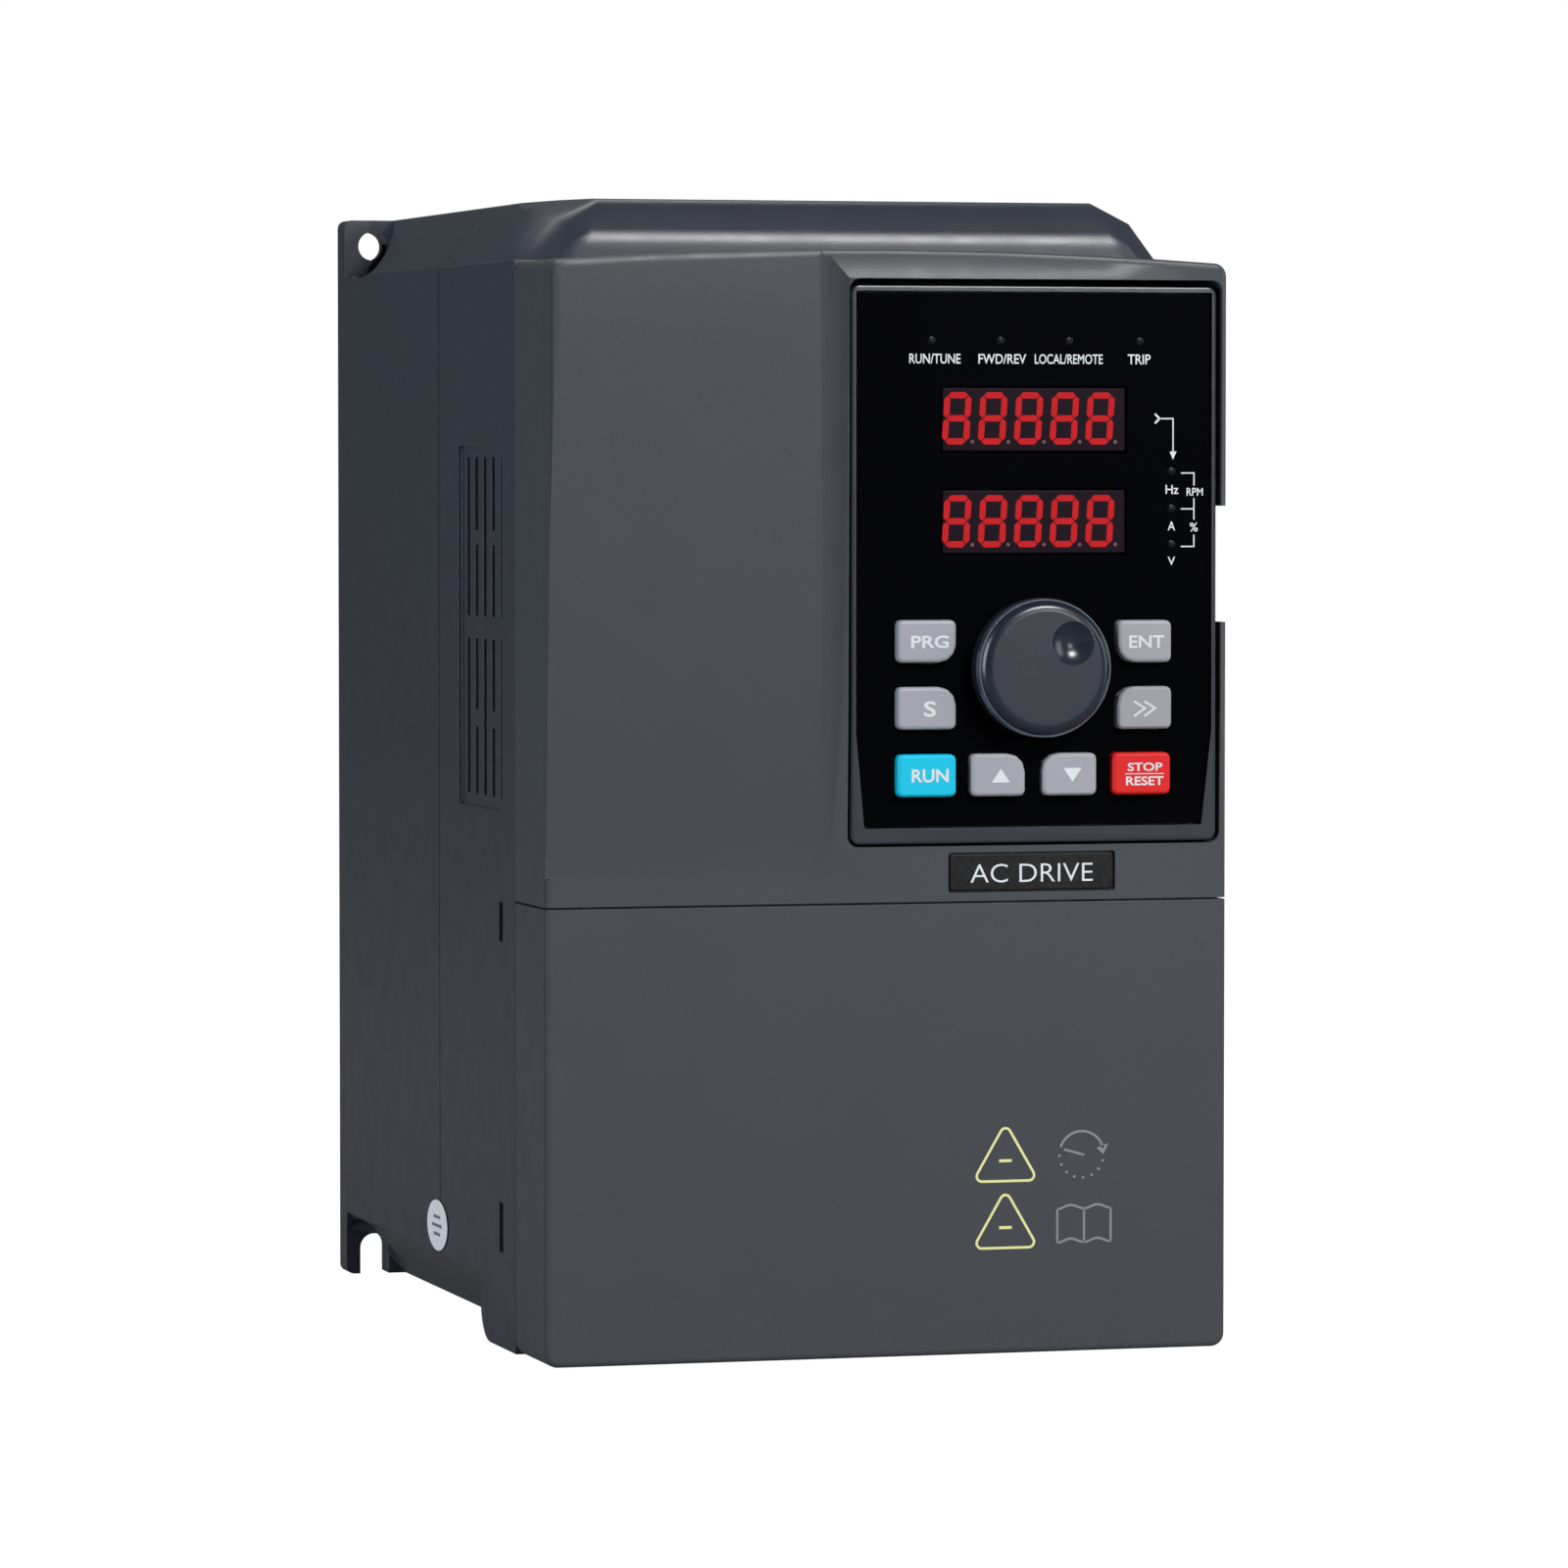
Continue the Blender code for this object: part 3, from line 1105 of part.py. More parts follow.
def cable_grommets():
    rubber = material("grommet_rubber", (0.02, 0.02, 0.02), 0.8)
    for number, x in enumerate(CABLE_HOLES_X, 1):
        centre = (x, CABLE_HOLE_Y)
        neck = CABLE_HOLE_RADIUS - GAP
        flange = neck + GROMMET_FLANGE
        low, high = WALL + GAP, WALL + GROMMET_TOP
        profile = [(GROMMET_BOTTOM, neck), (low, neck), (low, flange), (high, flange)]
        grommet = solid(f"cable_grommet_{number}", turned("Z", centre, profile, 24), rubber)
        cut(grommet, rod("Z", centre, GROMMET_BORE, -1, WALL + 3, 20))


def main():
    clear_scene()
    rear_housing()
    middle_housing()
    front_cover()
    nameplate()
    approval_sticker()
    terminal_cover()
    holder = empty("keypad_holder", (KNOB_X, 0, KNOB_Z))
    keypad_frame(holder)
    keypad_panel(holder)
    keypad_inside(holder)
    knob(holder)
    keys(holder)
    heatsink()
    fan_frame()
    fan_impeller()
    fan_cover()
    control_board()
    power_board()
    terminals()
    case_screws()
    cable_grommets()


main()
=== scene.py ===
"""Looks of the wall-mounting variable frequency drive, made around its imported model."""

import math

import bmesh
import bpy
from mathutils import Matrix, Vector


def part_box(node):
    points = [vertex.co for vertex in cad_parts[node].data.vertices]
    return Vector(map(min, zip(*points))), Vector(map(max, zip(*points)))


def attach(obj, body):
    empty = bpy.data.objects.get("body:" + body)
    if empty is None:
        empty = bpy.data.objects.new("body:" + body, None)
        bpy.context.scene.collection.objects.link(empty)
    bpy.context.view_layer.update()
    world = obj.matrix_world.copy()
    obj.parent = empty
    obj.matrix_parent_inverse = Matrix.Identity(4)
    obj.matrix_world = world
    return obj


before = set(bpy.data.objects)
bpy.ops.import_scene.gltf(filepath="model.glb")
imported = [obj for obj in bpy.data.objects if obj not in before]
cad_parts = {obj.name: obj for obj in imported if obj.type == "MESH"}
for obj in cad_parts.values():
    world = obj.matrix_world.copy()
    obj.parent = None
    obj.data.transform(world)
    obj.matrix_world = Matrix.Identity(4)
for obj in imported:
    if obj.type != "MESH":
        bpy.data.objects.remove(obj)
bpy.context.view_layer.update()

# The case is measured in millimetres from its front, lower, left corner: x across, y back, z up.
MM = 0.001
CORNER = Vector(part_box("terminal_cover")[0])
FAR_CORNER = Vector(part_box("rear_housing")[1])
WIDTH = (FAR_CORNER.x - CORNER.x) / MM
HEIGHT = (FAR_CORNER.z - CORNER.z) / MM

# Camera: where it stands in the case's millimetres, its turn and its lens.
CAMERA_PLACE = (-298.4, -1200.9, 149.1)
CAMERA_YAW = math.radians(-15.767)
CAMERA_PITCH = math.radians(-2.447)
CAMERA_LENS = 173.5
CAMERA_NEAR = 0.05

# The surround: its tint and strength as light. The camera sees it white.
WHITE = (1.0, 1.0, 1.0)
SURROUND_TINT = (0.8, 0.9, 1.0, 1.0)
SURROUND_LIGHT = 0.12

# Area lights: place, aim, width and height in metres, power in watts, and colour.
LIGHTS = {
    "softbox_front": ((0.38, -1.25, 0.88), (0, -0.15, 0.03), (0.5, 0.3), 19.0, WHITE),
    "softbox_sheen": ((0.55, -1.6, 0.26), (0, -0.15, 0.03), (0.3, 0.25), 3.0, WHITE),
    "softbox_right": ((1.2, -0.6, 0.25), (0, -0.1, 0), (0.5, 1.0), 5.0, WHITE),
    "softbox_back": ((-0.1, 0.7, 1.1), (0, -0.1, 0.09), (1.0, 0.4), 4.0, WHITE),
    "strip_left": ((-1.25, -0.44, 0.25), (0, -0.12, 0), (0.12, 1.0), 11.0, (0.82, 0.91, 1.0)),
}

# The floor: half its side and its drop below the drive in metres, and how strongly it glows.
FLOOR_SIDE = 4.0
FLOOR_DROP = 0.0002
FLOOR_GREY = (0.2, 0.2, 0.2, 1.0)
FLOOR_ROUGHNESS = 0.9
FLOOR_SEEN = 1.0
FLOOR_LIGHT = 0.07

# Seams, edges and prints. Lengths are in millimetres; PRINT_ROOT is how far a print reaches in.
CREASE = math.radians(30.0)
FLAT = math.radians(0.4)
WELD = 0.002
MERGE = 0.001
EDGE = 0.32
PRINT = 0.03
PRINT_ROOT = 0.01

# Materials: the range that noise covers and how far gloss wanders.
NOISE_RANGE = (0.3, 0.7)
GLOSS_WANDER = 0.08

# Lit segments: unlit share of the colour, brightest share, size of the variation in millimetres.
GLOW_UNLIT = 0.1
GLOW_CORE = 1.15
GLOW_PATCH = 0.5
GLOW_ROUGHNESS = 0.6
GLOW_GLOSS = 0.1


def place(x, y, z):
    """A point of the case, given in its millimetres, in the frame's metres."""
    return CORNER + Vector((x, y, z)) * MM


# Camera, light and floor.

def make_camera():
    data = bpy.data.cameras.new("camera")
    data.lens = CAMERA_LENS
    data.clip_start = CAMERA_NEAR
    camera = bpy.data.objects.new("camera", data)
    camera.location = place(*CAMERA_PLACE)
    camera.rotation_euler = (math.pi / 2 + CAMERA_PITCH, 0, CAMERA_YAW)
    bpy.context.scene.collection.objects.link(camera)
    bpy.context.scene.camera = camera


def area_light(name, spot, aim, size, power, colour):
    data = bpy.data.lights.new(name, "AREA")
    data.shape = "RECTANGLE"
    data.size, data.size_y = size
    data.energy = power
    data.color = colour
    light = bpy.data.objects.new(name, data)
    light.location = spot
    light.rotation_euler = (Vector(aim) - Vector(spot)).to_track_quat("-Z", "Y").to_euler()
    bpy.context.scene.collection.objects.link(light)


def make_light():
    """A dim surround that looks white from the camera, and the area lights."""
    world = bpy.data.worlds.new("studio")
    world.use_nodes = True
    nodes, links = world.node_tree.nodes, world.node_tree.links
    seen = nodes.new("ShaderNodeBackground")
    seen.inputs["Color"].default_value = (*WHITE, 1.0)
    seen.inputs["Strength"].default_value = 1.0
    around = nodes["Background"]
    around.inputs["Color"].default_value = SURROUND_TINT
    around.inputs["Strength"].default_value = SURROUND_LIGHT
    path = nodes.new("ShaderNodeLightPath")
    mix = nodes.new("ShaderNodeMixShader")
    links.new(path.outputs["Is Camera Ray"], mix.inputs["Fac"])
    links.new(around.outputs[0], mix.inputs[1])
    links.new(seen.outputs[0], mix.inputs[2])
    links.new(mix.outputs[0], nodes["World Output"].inputs["Surface"])
    bpy.context.scene.world = world
    bpy.context.scene.view_settings.view_transform = "Standard"
    for name, settings in LIGHTS.items():
        area_light(name, *settings)


def make_floor():
    """A floor that looks white from the camera and lights the drive more softly than that."""
    mesh = bpy.data.meshes.new("floor")
    side, height = FLOOR_SIDE, CORNER.z - FLOOR_DROP
    corners = [(-side, -side), (side, -side), (side, side), (-side, side)]
    mesh.from_pydata([(x, y, height) for x, y in corners], [], [(0, 1, 2, 3)])
    floor = bpy.data.objects.new("floor", mesh)
    bpy.context.scene.collection.objects.link(floor)
    made, shader, tree = new_material("pale_floor")
    shader.inputs["Base Color"].default_value = FLOOR_GREY
    shader.inputs["Roughness"].default_value = FLOOR_ROUGHNESS
    shader.inputs["Emission Color"].default_value = (*WHITE, 1.0)
    path = tree.nodes.new("ShaderNodeLightPath")
    strength = tree.nodes.new("ShaderNodeMapRange")
    strength.inputs["To Min"].default_value = FLOOR_LIGHT
    strength.inputs["To Max"].default_value = FLOOR_SEEN
    tree.links.new(path.outputs["Is Camera Ray"], strength.inputs["Value"])
    tree.links.new(strength.outputs["Result"], shader.inputs["Emission Strength"])
    mesh.materials.append(made)


# Materials.

def new_material(name):
    made = bpy.data.materials.new(name)
    made.use_nodes = True
    return made, made.node_tree.nodes["Principled BSDF"], made.node_tree


def noise(tree, size, detail=2.0, stretch=(1, 1, 1)):
    """Noise whose features are about this many millimetres across."""
    where = tree.nodes.new("ShaderNodeTexCoord")
    mapping = tree.nodes.new("ShaderNodeMapping")
    mapping.inputs["Scale"].default_value = [s / (size * MM) for s in stretch]
    texture = tree.nodes.new("ShaderNodeTexNoise")
    texture.inputs["Scale"].default_value = 1.0
    texture.inputs["Detail"].default_value = detail
    tree.links.new(where.outputs["Object"], mapping.inputs["Vector"])
    tree.links.new(mapping.outputs["Vector"], texture.inputs["Vector"])
    return texture.outputs["Fac"]


def spread_between(tree, factor, low, high):
    """The factor, mapped from the middle of the noise's range onto low..high."""
    between = tree.nodes.new("ShaderNodeMapRange")
    between.inputs["From Min"].default_value = NOISE_RANGE[0]
    between.inputs["From Max"].default_value = NOISE_RANGE[1]
    between.inputs["To Min"].default_value = low
    between.inputs["To Max"].default_value = high
    tree.links.new(factor, between.inputs["Value"])
    return between.outputs["Result"]


def tinted(tree, factor, dark, light):
    """A colour that wanders between two close tones."""
    mix = tree.nodes.new("ShaderNodeMix")
    mix.data_type = "RGBA"
    mix.inputs["A"].default_value = (*dark, 1.0)
    mix.inputs["B"].default_value = (*light, 1.0)
    tree.links.new(spread_between(tree, factor, 0.0, 1.0), mix.inputs["Factor"])
    return mix.outputs["Result"]


def bump(tree, shader, height, depth):
    """Relief of this many millimetres."""
    node = tree.nodes.new("ShaderNodeBump")
    node.inputs["Strength"].default_value = 1.0
    node.inputs["Distance"].default_value = depth * MM
    tree.links.new(height, node.inputs["Height"])
    tree.links.new(node.outputs["Normal"], shader.inputs["Normal"])


def finish(name, colour, roughness, *, vary=0.02, grain=0.35, relief=0.02, metallic=0.0, gloss=0.5,
           stretch=(1, 1, 1), patch=18.0):
    """A surface whose tone and gloss wander, with a fine relief; sizes are in millimetres."""
    made, shader, tree = new_material(name)
    dark = [c * (1 - vary) for c in colour]
    light = [min(1.0, c * (1 + vary)) for c in colour]
    tree.links.new(tinted(tree, noise(tree, patch, 4.0), dark, light), shader.inputs["Base Color"])
    dull, keen = roughness * (1 + GLOSS_WANDER), roughness * (1 - GLOSS_WANDER)
    wander = spread_between(tree, noise(tree, patch / 3, 3.0), keen, dull)
    tree.links.new(wander, shader.inputs["Roughness"])
    shader.inputs["Metallic"].default_value = metallic
    shader.inputs["Specular IOR Level"].default_value = gloss
    if relief:
        bump(tree, shader, noise(tree, grain, 2.0, stretch), relief)
    return made


def glowing(name, colour, strength):
    """A lit LED segment, with a brighter core here and there."""
    made, shader, tree = new_material(name)
    shader.inputs["Base Color"].default_value = (*[c * GLOW_UNLIT for c in colour], 1.0)
    shader.inputs["Roughness"].default_value = GLOW_ROUGHNESS
    shader.inputs["Specular IOR Level"].default_value = GLOW_GLOSS
    light = [min(1.0, c * GLOW_CORE) for c in colour]
    tree.links.new(tinted(tree, noise(tree, GLOW_PATCH), colour, light), shader.inputs["Emission Color"])
    shader.inputs["Emission Strength"].default_value = strength
    return made


# Finishes by the slot of the CAD's materials.
FINISHES = {
    "case_plastic": finish("case_plastic_grain", (0.024, 0.0275, 0.039), 0.36, gloss=0.5),
    "cover_plastic": finish("cover_plastic_grain", (0.049, 0.055, 0.062), 0.38, gloss=0.24),
    "keypad_plastic": finish("keypad_plastic_grain", (0.018, 0.023, 0.032), 0.3, relief=0.01, gloss=0.4),
    "panel_gloss": finish("panel_gloss_black", (0.0016, 0.0017, 0.0025), 0.3, relief=0.0, gloss=0.003),
    "display_window": finish(
        "display_window_smoke", (0.013, 0.0075, 0.012), 0.3, relief=0.0, gloss=0.02
    ),
    "key_grey": finish("key_grey_satin", (0.31, 0.31, 0.345), 0.42, relief=0.006, gloss=0.3),
    "key_cyan": finish("key_cyan_satin", (0.004, 0.47, 0.66), 0.42, relief=0.006, gloss=0.2),
    "key_red": finish("key_red_satin", (0.62, 0.014, 0.015), 0.42, relief=0.006, gloss=0.2),
    "aluminium": finish(
        "aluminium_extruded", (0.68, 0.69, 0.7), 0.35, metallic=1.0, grain=0.25, stretch=(1, 1, 0.04)
    ),
    "zinc_steel": finish(
        "zinc_plate", (0.6, 0.6, 0.58), 0.32, metallic=1.0, grain=0.5, relief=0.006, patch=4.0
    ),
    "circuit_board": finish(
        "solder_mask", (0.01, 0.1, 0.045), 0.35, grain=1.0, relief=0.02, patch=3.0, vary=0.35
    ),
    "black_plastic": finish("black_plastic_grain", (0.018, 0.018, 0.019), 0.45, gloss=0.3),
    "capacitor_sleeve": finish("capacitor_sleeve_film", (0.02, 0.024, 0.04), 0.25, relief=0.004),
    "relay_white": finish("relay_plastic", (0.62, 0.61, 0.57), 0.45, relief=0.008),
    "terminal_green": finish("terminal_green_plastic", (0.02, 0.22, 0.07), 0.42),
    "silicone": finish("silicone_rubber", (0.3, 0.3, 0.31), 0.7, relief=0.01),
    "grommet_rubber": finish("grommet_rubber_matt", (0.018, 0.018, 0.018), 0.75, grain=0.6),
    "ribbon_grey": finish(
        "ribbon_grey_film", (0.42, 0.42, 0.43), 0.45, grain=1.2, stretch=(1, 0.05, 0.05)
    ),
    "label_white": finish("label_vinyl", (0.93, 0.94, 0.95), 0.45, relief=0.003),
    "clear_plastic": finish("nylon_natural", (0.72, 0.71, 0.66), 0.35, relief=0.004),
}
# Nodes whose finish differs from that of their slot.
NODE_FINISHES = {
    "nameplate": finish(
        "nameplate_film", (0.008, 0.008, 0.0095), 0.4, patch=1.0, vary=0.6, gloss=0.2
    ),
    "knob": finish("knob_plastic", (0.009, 0.0135, 0.0235), 0.26, relief=0.006, gloss=0.5),
}


# CAD nodes that keep their shape.

def refine(node):
    """Welds a node's triangles into whole faces and rounds its sharp edges a little."""
    weld = node.modifiers.new("weld", "WELD")
    weld.merge_threshold = WELD * MM
    flat = node.modifiers.new("flat", "DECIMATE")
    flat.decimate_type = "DISSOLVE"
    flat.angle_limit = FLAT
    rounding = node.modifiers.new("rounding", "BEVEL")
    rounding.limit_method = "ANGLE"
    rounding.angle_limit = CREASE
    rounding.width = EDGE * MM
    rounding.segments = 2
    rounding.use_clamp_overlap = True
    rounding.harden_normals = False
    for polygon in node.data.polygons:
        polygon.use_smooth = True
    shade = node.modifiers.new("shade", "WEIGHTED_NORMAL")
    shade.keep_sharp = True


def dress_nodes():
    for name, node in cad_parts.items():
        slot = node.material_slots[0].material.name
        node.material_slots[0].material = NODE_FINISHES.get(name, FINISHES[slot])
        refine(node)


# Mesh tools. An outline is a list of (x, z) points in the case's millimetres.

def add_piece(name, bm, look, body):
    """A piece of the object that rides on a body and wears the look it is given."""
    bmesh.ops.remove_doubles(bm, verts=bm.verts, dist=MERGE * MM)
    bmesh.ops.recalc_face_normals(bm, faces=bm.faces)
    mesh = bpy.data.meshes.new(name)
    bm.to_mesh(mesh)
    bm.free()
    mesh.materials.append(look)
    made = bpy.data.objects.new(name, mesh)
    bpy.context.scene.collection.objects.link(made)
    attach(made, body)
    return made


def add_rings(bm, rings, closed=False):
    """Joins rings of points by strips of faces; an open run gets a cap at each end."""
    loops = [[bm.verts.new(place(*point)) for point in ring] for ring in rings]
    count = len(loops[0])
    pairs = list(zip(loops, loops[1:]))
    if closed:
        pairs.append((loops[-1], loops[0]))
    for near, far in pairs:
        for i in range(count):
            j = (i + 1) % count
            bm.faces.new((near[i], near[j], far[j], far[i]))
    if not closed:
        bm.faces.new(loops[0])
        bm.faces.new(loops[-1])


def add_plate(bm, outline, back, front):
    """A flat shape that faces the front, between two depths."""
    add_rings(bm, [[(x, y, z) for x, z in outline] for y in (back, front)])


def add_side_plate(bm, outline, inner, outer):
    """A flat shape of (y, z) points that faces the left side."""
    add_rings(bm, [[(x, y, z) for y, z in outline] for x in (inner, outer)])


def add_rod(bm, centre, stations, steps):
    """A turned shape that faces the front, through (level, radius) stations."""
    rings = []
    for level, radius in stations:
        angles = [math.tau * i / steps for i in range(steps)]
        x, z = centre
        rings.append([(x + radius * math.cos(a), level, z + radius * math.sin(a)) for a in angles])
    add_rings(bm, rings)


def add_line(bm, points, width, back, front, closed=False):
    """A printed line of even width through the points, with mitred corners."""
    rings = []
    for i, corner in enumerate(points):
        here = Vector(corner)
        before = Vector(points[i - 1]) if closed or i else None
        after = Vector(points[(i + 1) % len(points)]) if closed or i + 1 < len(points) else None
        into = (here - before).normalized() if before else (after - here).normalized()
        out = (after - here).normalized() if after else into
        side = Vector((-into.y, into.x)) + Vector((-out.y, out.x))
        offset = side * (width / 2) / (1 + into.dot(out))
        left, right = here + offset, here - offset
        sides = ((left, back), (left, front), (right, front), (right, back))
        rings.append([(point.x, depth, point.y) for point, depth in sides])
    add_rings(bm, rings, closed)


def arc(centre, radius, first, last, steps=24):
    """Points along an arc, with its angles in degrees."""
    points = []
    for i in range(steps + 1):
        angle = math.radians(first + (last - first) * i / steps)
        points.append((centre[0] + radius * math.cos(angle), centre[1] + radius * math.sin(angle)))
    return points


def disc(centre, radius, steps=24):
    return arc(centre, radius, 0, 360, steps)[:-1]


def rounded(corners, radius, steps=5):
    """The outline with every corner turned into an arc."""
    points = []
    for i, corner in enumerate(corners):
        here = Vector(corner)
        back = (Vector(corners[i - 1]) - here).normalized()
        ahead = (Vector(corners[(i + 1) % len(corners)]) - here).normalized()
        half = back.angle(ahead) / 2
        centre = here + (back + ahead).normalized() * radius / math.sin(half)
        start = here + back * radius / math.tan(half) - centre
        end = here + ahead * radius / math.tan(half) - centre
        first = math.atan2(start.y, start.x)
        turn = math.remainder(math.atan2(end.y, end.x) - first, math.tau)
        for step in range(steps + 1):
            angle = first + turn * step / steps
            points.append((centre.x + radius * math.cos(angle), centre.y + radius * math.sin(angle)))
    return points


def rectangle(low, high):
    return [(low[0], low[1]), (high[0], low[1]), (high[0], high[1]), (low[0], high[1])]


def add_words(bm, words, low, high, back, front, weight):
    """Plain words fitted between two corners, as a thin print that faces the front."""
    curve = bpy.data.curves.new("words", "FONT")
    curve.body = words
    curve.offset = weight
    curve.extrude = 0.5
    curve.resolution_u = 4
    holder = bpy.data.objects.new("words", curve)
    mesh = bpy.data.meshes.new_from_object(holder)
    xs = [vertex.co.x for vertex in mesh.vertices]
    ys = [vertex.co.y for vertex in mesh.vertices]
    left, width = min(xs), max(xs) - min(xs)
    bottom, height = min(ys), max(ys) - min(ys)
    for vertex in mesh.vertices:
        across = (vertex.co.x - left) / width
        up = (vertex.co.y - bottom) / height
        deep = back if vertex.co.z < 0 else front
        x = low[0] + (high[0] - low[0]) * across
        z = low[1] + (high[1] - low[1]) * up
        vertex.co = place(x, deep, z)
    bm.from_mesh(mesh)
    bpy.data.objects.remove(holder)
    bpy.data.curves.remove(curve)
    bpy.data.meshes.remove(mesh)


# Keypad prints. Points are (x, z) in the case's millimetres.

PANEL_FACE = (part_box("keypad_panel")[0].y - CORNER.y) / MM
WINDOW_FACE = (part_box("display_upper")[0].y - CORNER.y) / MM
PANEL_WORDS = {
    "RUN/TUNE": ((62.2, 165.25), (71.1, 166.9)),
    "FWD/REV": ((74.2, 165.25), (82.5, 166.9)),
    "LOCAL/REMOTE": ((84.0, 165.25), (95.9, 166.9)),
    "TRIP": ((100.3, 165.25), (104.3, 166.9)),
    "Hz": ((107.0, 143.6), (109.3, 145.1)),
    "A": ((107.4, 137.5), (108.7, 139.0)),
    "V": ((107.4, 131.7), (108.7, 133.1)),
    "RPM": ((110.7, 143.3), (113.6, 144.6)),
    "%": ((111.3, 137.3), (112.7, 138.8)),
}
PANEL_WEIGHT = 0.01
PANEL_LINE = 0.22
FORK_LINE = 0.352
ARROW_STEM = ((105.9, 156.2), (108.3, 156.2), (108.3, 150.6))
ARROW_TIP = ((107.7, 150.7), (108.3, 149.3), (108.9, 150.7))
ARROW_FORK = ((105.1, 157.0), (105.9, 156.2), (105.1, 155.4))
BRACKET_LINES = (
    ((109.7, 147.1), (112.0, 147.1), (112.0, 145.0)),
    ((112.0, 142.9), (112.0, 139.3)),
    ((109.7, 141.1), (111.89, 141.1)),
    ((109.7, 134.8), (112.0, 134.8), (112.0, 136.8)),
)


def print_depths(face):
    """Where a print on a face starts, just inside the face, and where it ends, just in front."""
    return face + PRINT_ROOT, face - PRINT


def panel_legends():
    """Names of the lamps and units, and the lines that link them."""
    back, front = print_depths(PANEL_FACE)
    bm = bmesh.new()
    for words, (low, high) in PANEL_WORDS.items():
        add_words(bm, words, low, high, back, front, PANEL_WEIGHT)
    add_line(bm, ARROW_STEM, PANEL_LINE, back, front)
    add_plate(bm, ARROW_TIP, back, front)
    add_line(bm, ARROW_FORK, FORK_LINE, back, front)
    for line in BRACKET_LINES:
        add_line(bm, line, PANEL_LINE, back, front)
    add_piece("panel_legends", bm, LOOKS["print_white"], "keypad")


# Unlit lamps. The profile gives (depth from the panel's face, share of the radius).

LAMP_RADIUS = 0.7
LAMP_STEPS = 20
LAMP_PROFILE = ((0.01, 1.0), (-0.05, 1.0), (-0.15, 0.8), (-0.2, 0.4))
LAMPS = (
    (66.0, 169.1),
    (78.0, 169.1),
    (90.0, 169.1),
    (102.4, 169.1),
    (108.0, 147.4),
    (108.0, 141.2),
    (108.0, 135.2),
)


def lamps():
    """Small unlit LED lenses, each a low dome."""
    bm = bmesh.new()
    stations = [(PANEL_FACE + depth, LAMP_RADIUS * share) for depth, share in LAMP_PROFILE]
    for centre in LAMPS:
        add_rod(bm, centre, stations, LAMP_STEPS)
    made = add_piece("lamp_lenses", bm, LOOKS["lamp_lens"], "keypad")
    smooth(made)


# Display figures: the lower edge of each row, the left edge of each figure, and its bars.

DIGIT_ROWS = {"display_upper": 151.85, "display_lower": 134.75}
DIGIT_LEFTS = (67.9, 74.15, 80.4, 86.65, 92.9)
DIGIT_WIDTH = 4.75
DIGIT_HEIGHT = 8.7
DIGIT_BAR = 1.05
DIGIT_GAP = 0.1
DIGIT_LEAN = math.tan(math.radians(3.5))
POINT_ACROSS = 5.35
POINT_UP = 0.45
POINT_RADIUS = 0.32
POINT_STEPS = 12


def bar_outline(start, end):
    """A bar with pointed ends from start to end, as (along, across) points."""
    half = DIGIT_BAR / 2
    a, b = start + DIGIT_GAP, end - DIGIT_GAP
    return [(a, 0), (a + half, -half), (b - half, -half), (b, 0), (b - half, half), (a + half, half)]


def digit_bars(left, low):
    """The seven bars of a figure, which leans a little to the right."""
    half = DIGIT_BAR / 2
    x0, x1 = left + half, left + DIGIT_WIDTH - half
    z0, z1, z2 = low + half, low + DIGIT_HEIGHT / 2, low + DIGIT_HEIGHT - half
    bars = [[(along, z + across) for along, across in bar_outline(x0, x1)] for z in (z0, z1, z2)]
    for x in (x0, x1):
        for bottom, top in ((z0, z1), (z1, z2)):
            bars.append([(x - across, along) for along, across in bar_outline(bottom, top)])
    return [[(x + (z - low) * DIGIT_LEAN, z) for x, z in bar] for bar in bars]


def display_digits(name, low):
    """Five lit figures in the window of a display, and the points between them."""
    back, front = print_depths(WINDOW_FACE)
    lit, points = bmesh.new(), bmesh.new()
    for left in DIGIT_LEFTS:
        for bar in digit_bars(left, low):
            add_plate(lit, bar, back, front)
        point = disc((left + POINT_ACROSS, low + POINT_UP), POINT_RADIUS, POINT_STEPS)
        add_plate(points, point, back, front)
    add_piece(f"{name}_figures", lit, LOOKS["led_red"], "keypad")
    add_piece(f"{name}_points", points, LOOKS["led_dim"], "keypad")


# A band of fine diamond teeth round the dial. BAND gives its ends as shares of the dial's depth.

BAND = (0.45, 0.8)
BAND_ROWS = 6
BAND_INSIDE = 0.97
TOOTH_COUNT = 120
TOOTH_ROOT = 0.1
TOOTH_RISE = 0.16


def dial_band():
    low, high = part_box("knob")
    axis = ((low.x + high.x) / 2 - CORNER.x) / MM, ((low.z + high.z) / 2 - CORNER.z) / MM
    radius = (high.x - low.x) / 2 / MM
    back, front = (high.y - CORNER.y) / MM, (low.y - CORNER.y) / MM
    rings = []
    for row in range(BAND_ROWS + 1):
        share = BAND[0] + (BAND[1] - BAND[0]) * row / BAND_ROWS
        level = back + (front - back) * share
        ring = []
        for i in range(TOOTH_COUNT * 2):
            angle = math.tau * i / (TOOTH_COUNT * 2)
            peak = (i + row) % 2 == 1 and 0 < row < BAND_ROWS
            r = radius - TOOTH_ROOT + (TOOTH_RISE if peak else 0.0)
            ring.append((axis[0] + r * math.cos(angle), level, axis[1] + r * math.sin(angle)))
        rings.append(ring)
    for outer in (rings[-1], rings[0]):
        inner = []
        for x, y, z in outer:
            inner.append((axis[0] + (x - axis[0]) * BAND_INSIDE, y, axis[1] + (z - axis[1]) * BAND_INSIDE))
        rings.append(inner)
    bm = bmesh.new()
    add_rings(bm, rings, closed=True)
    add_piece("dial_band", bm, LOOKS["dial_metal"], "knob")


# Key legends, each on its own key.

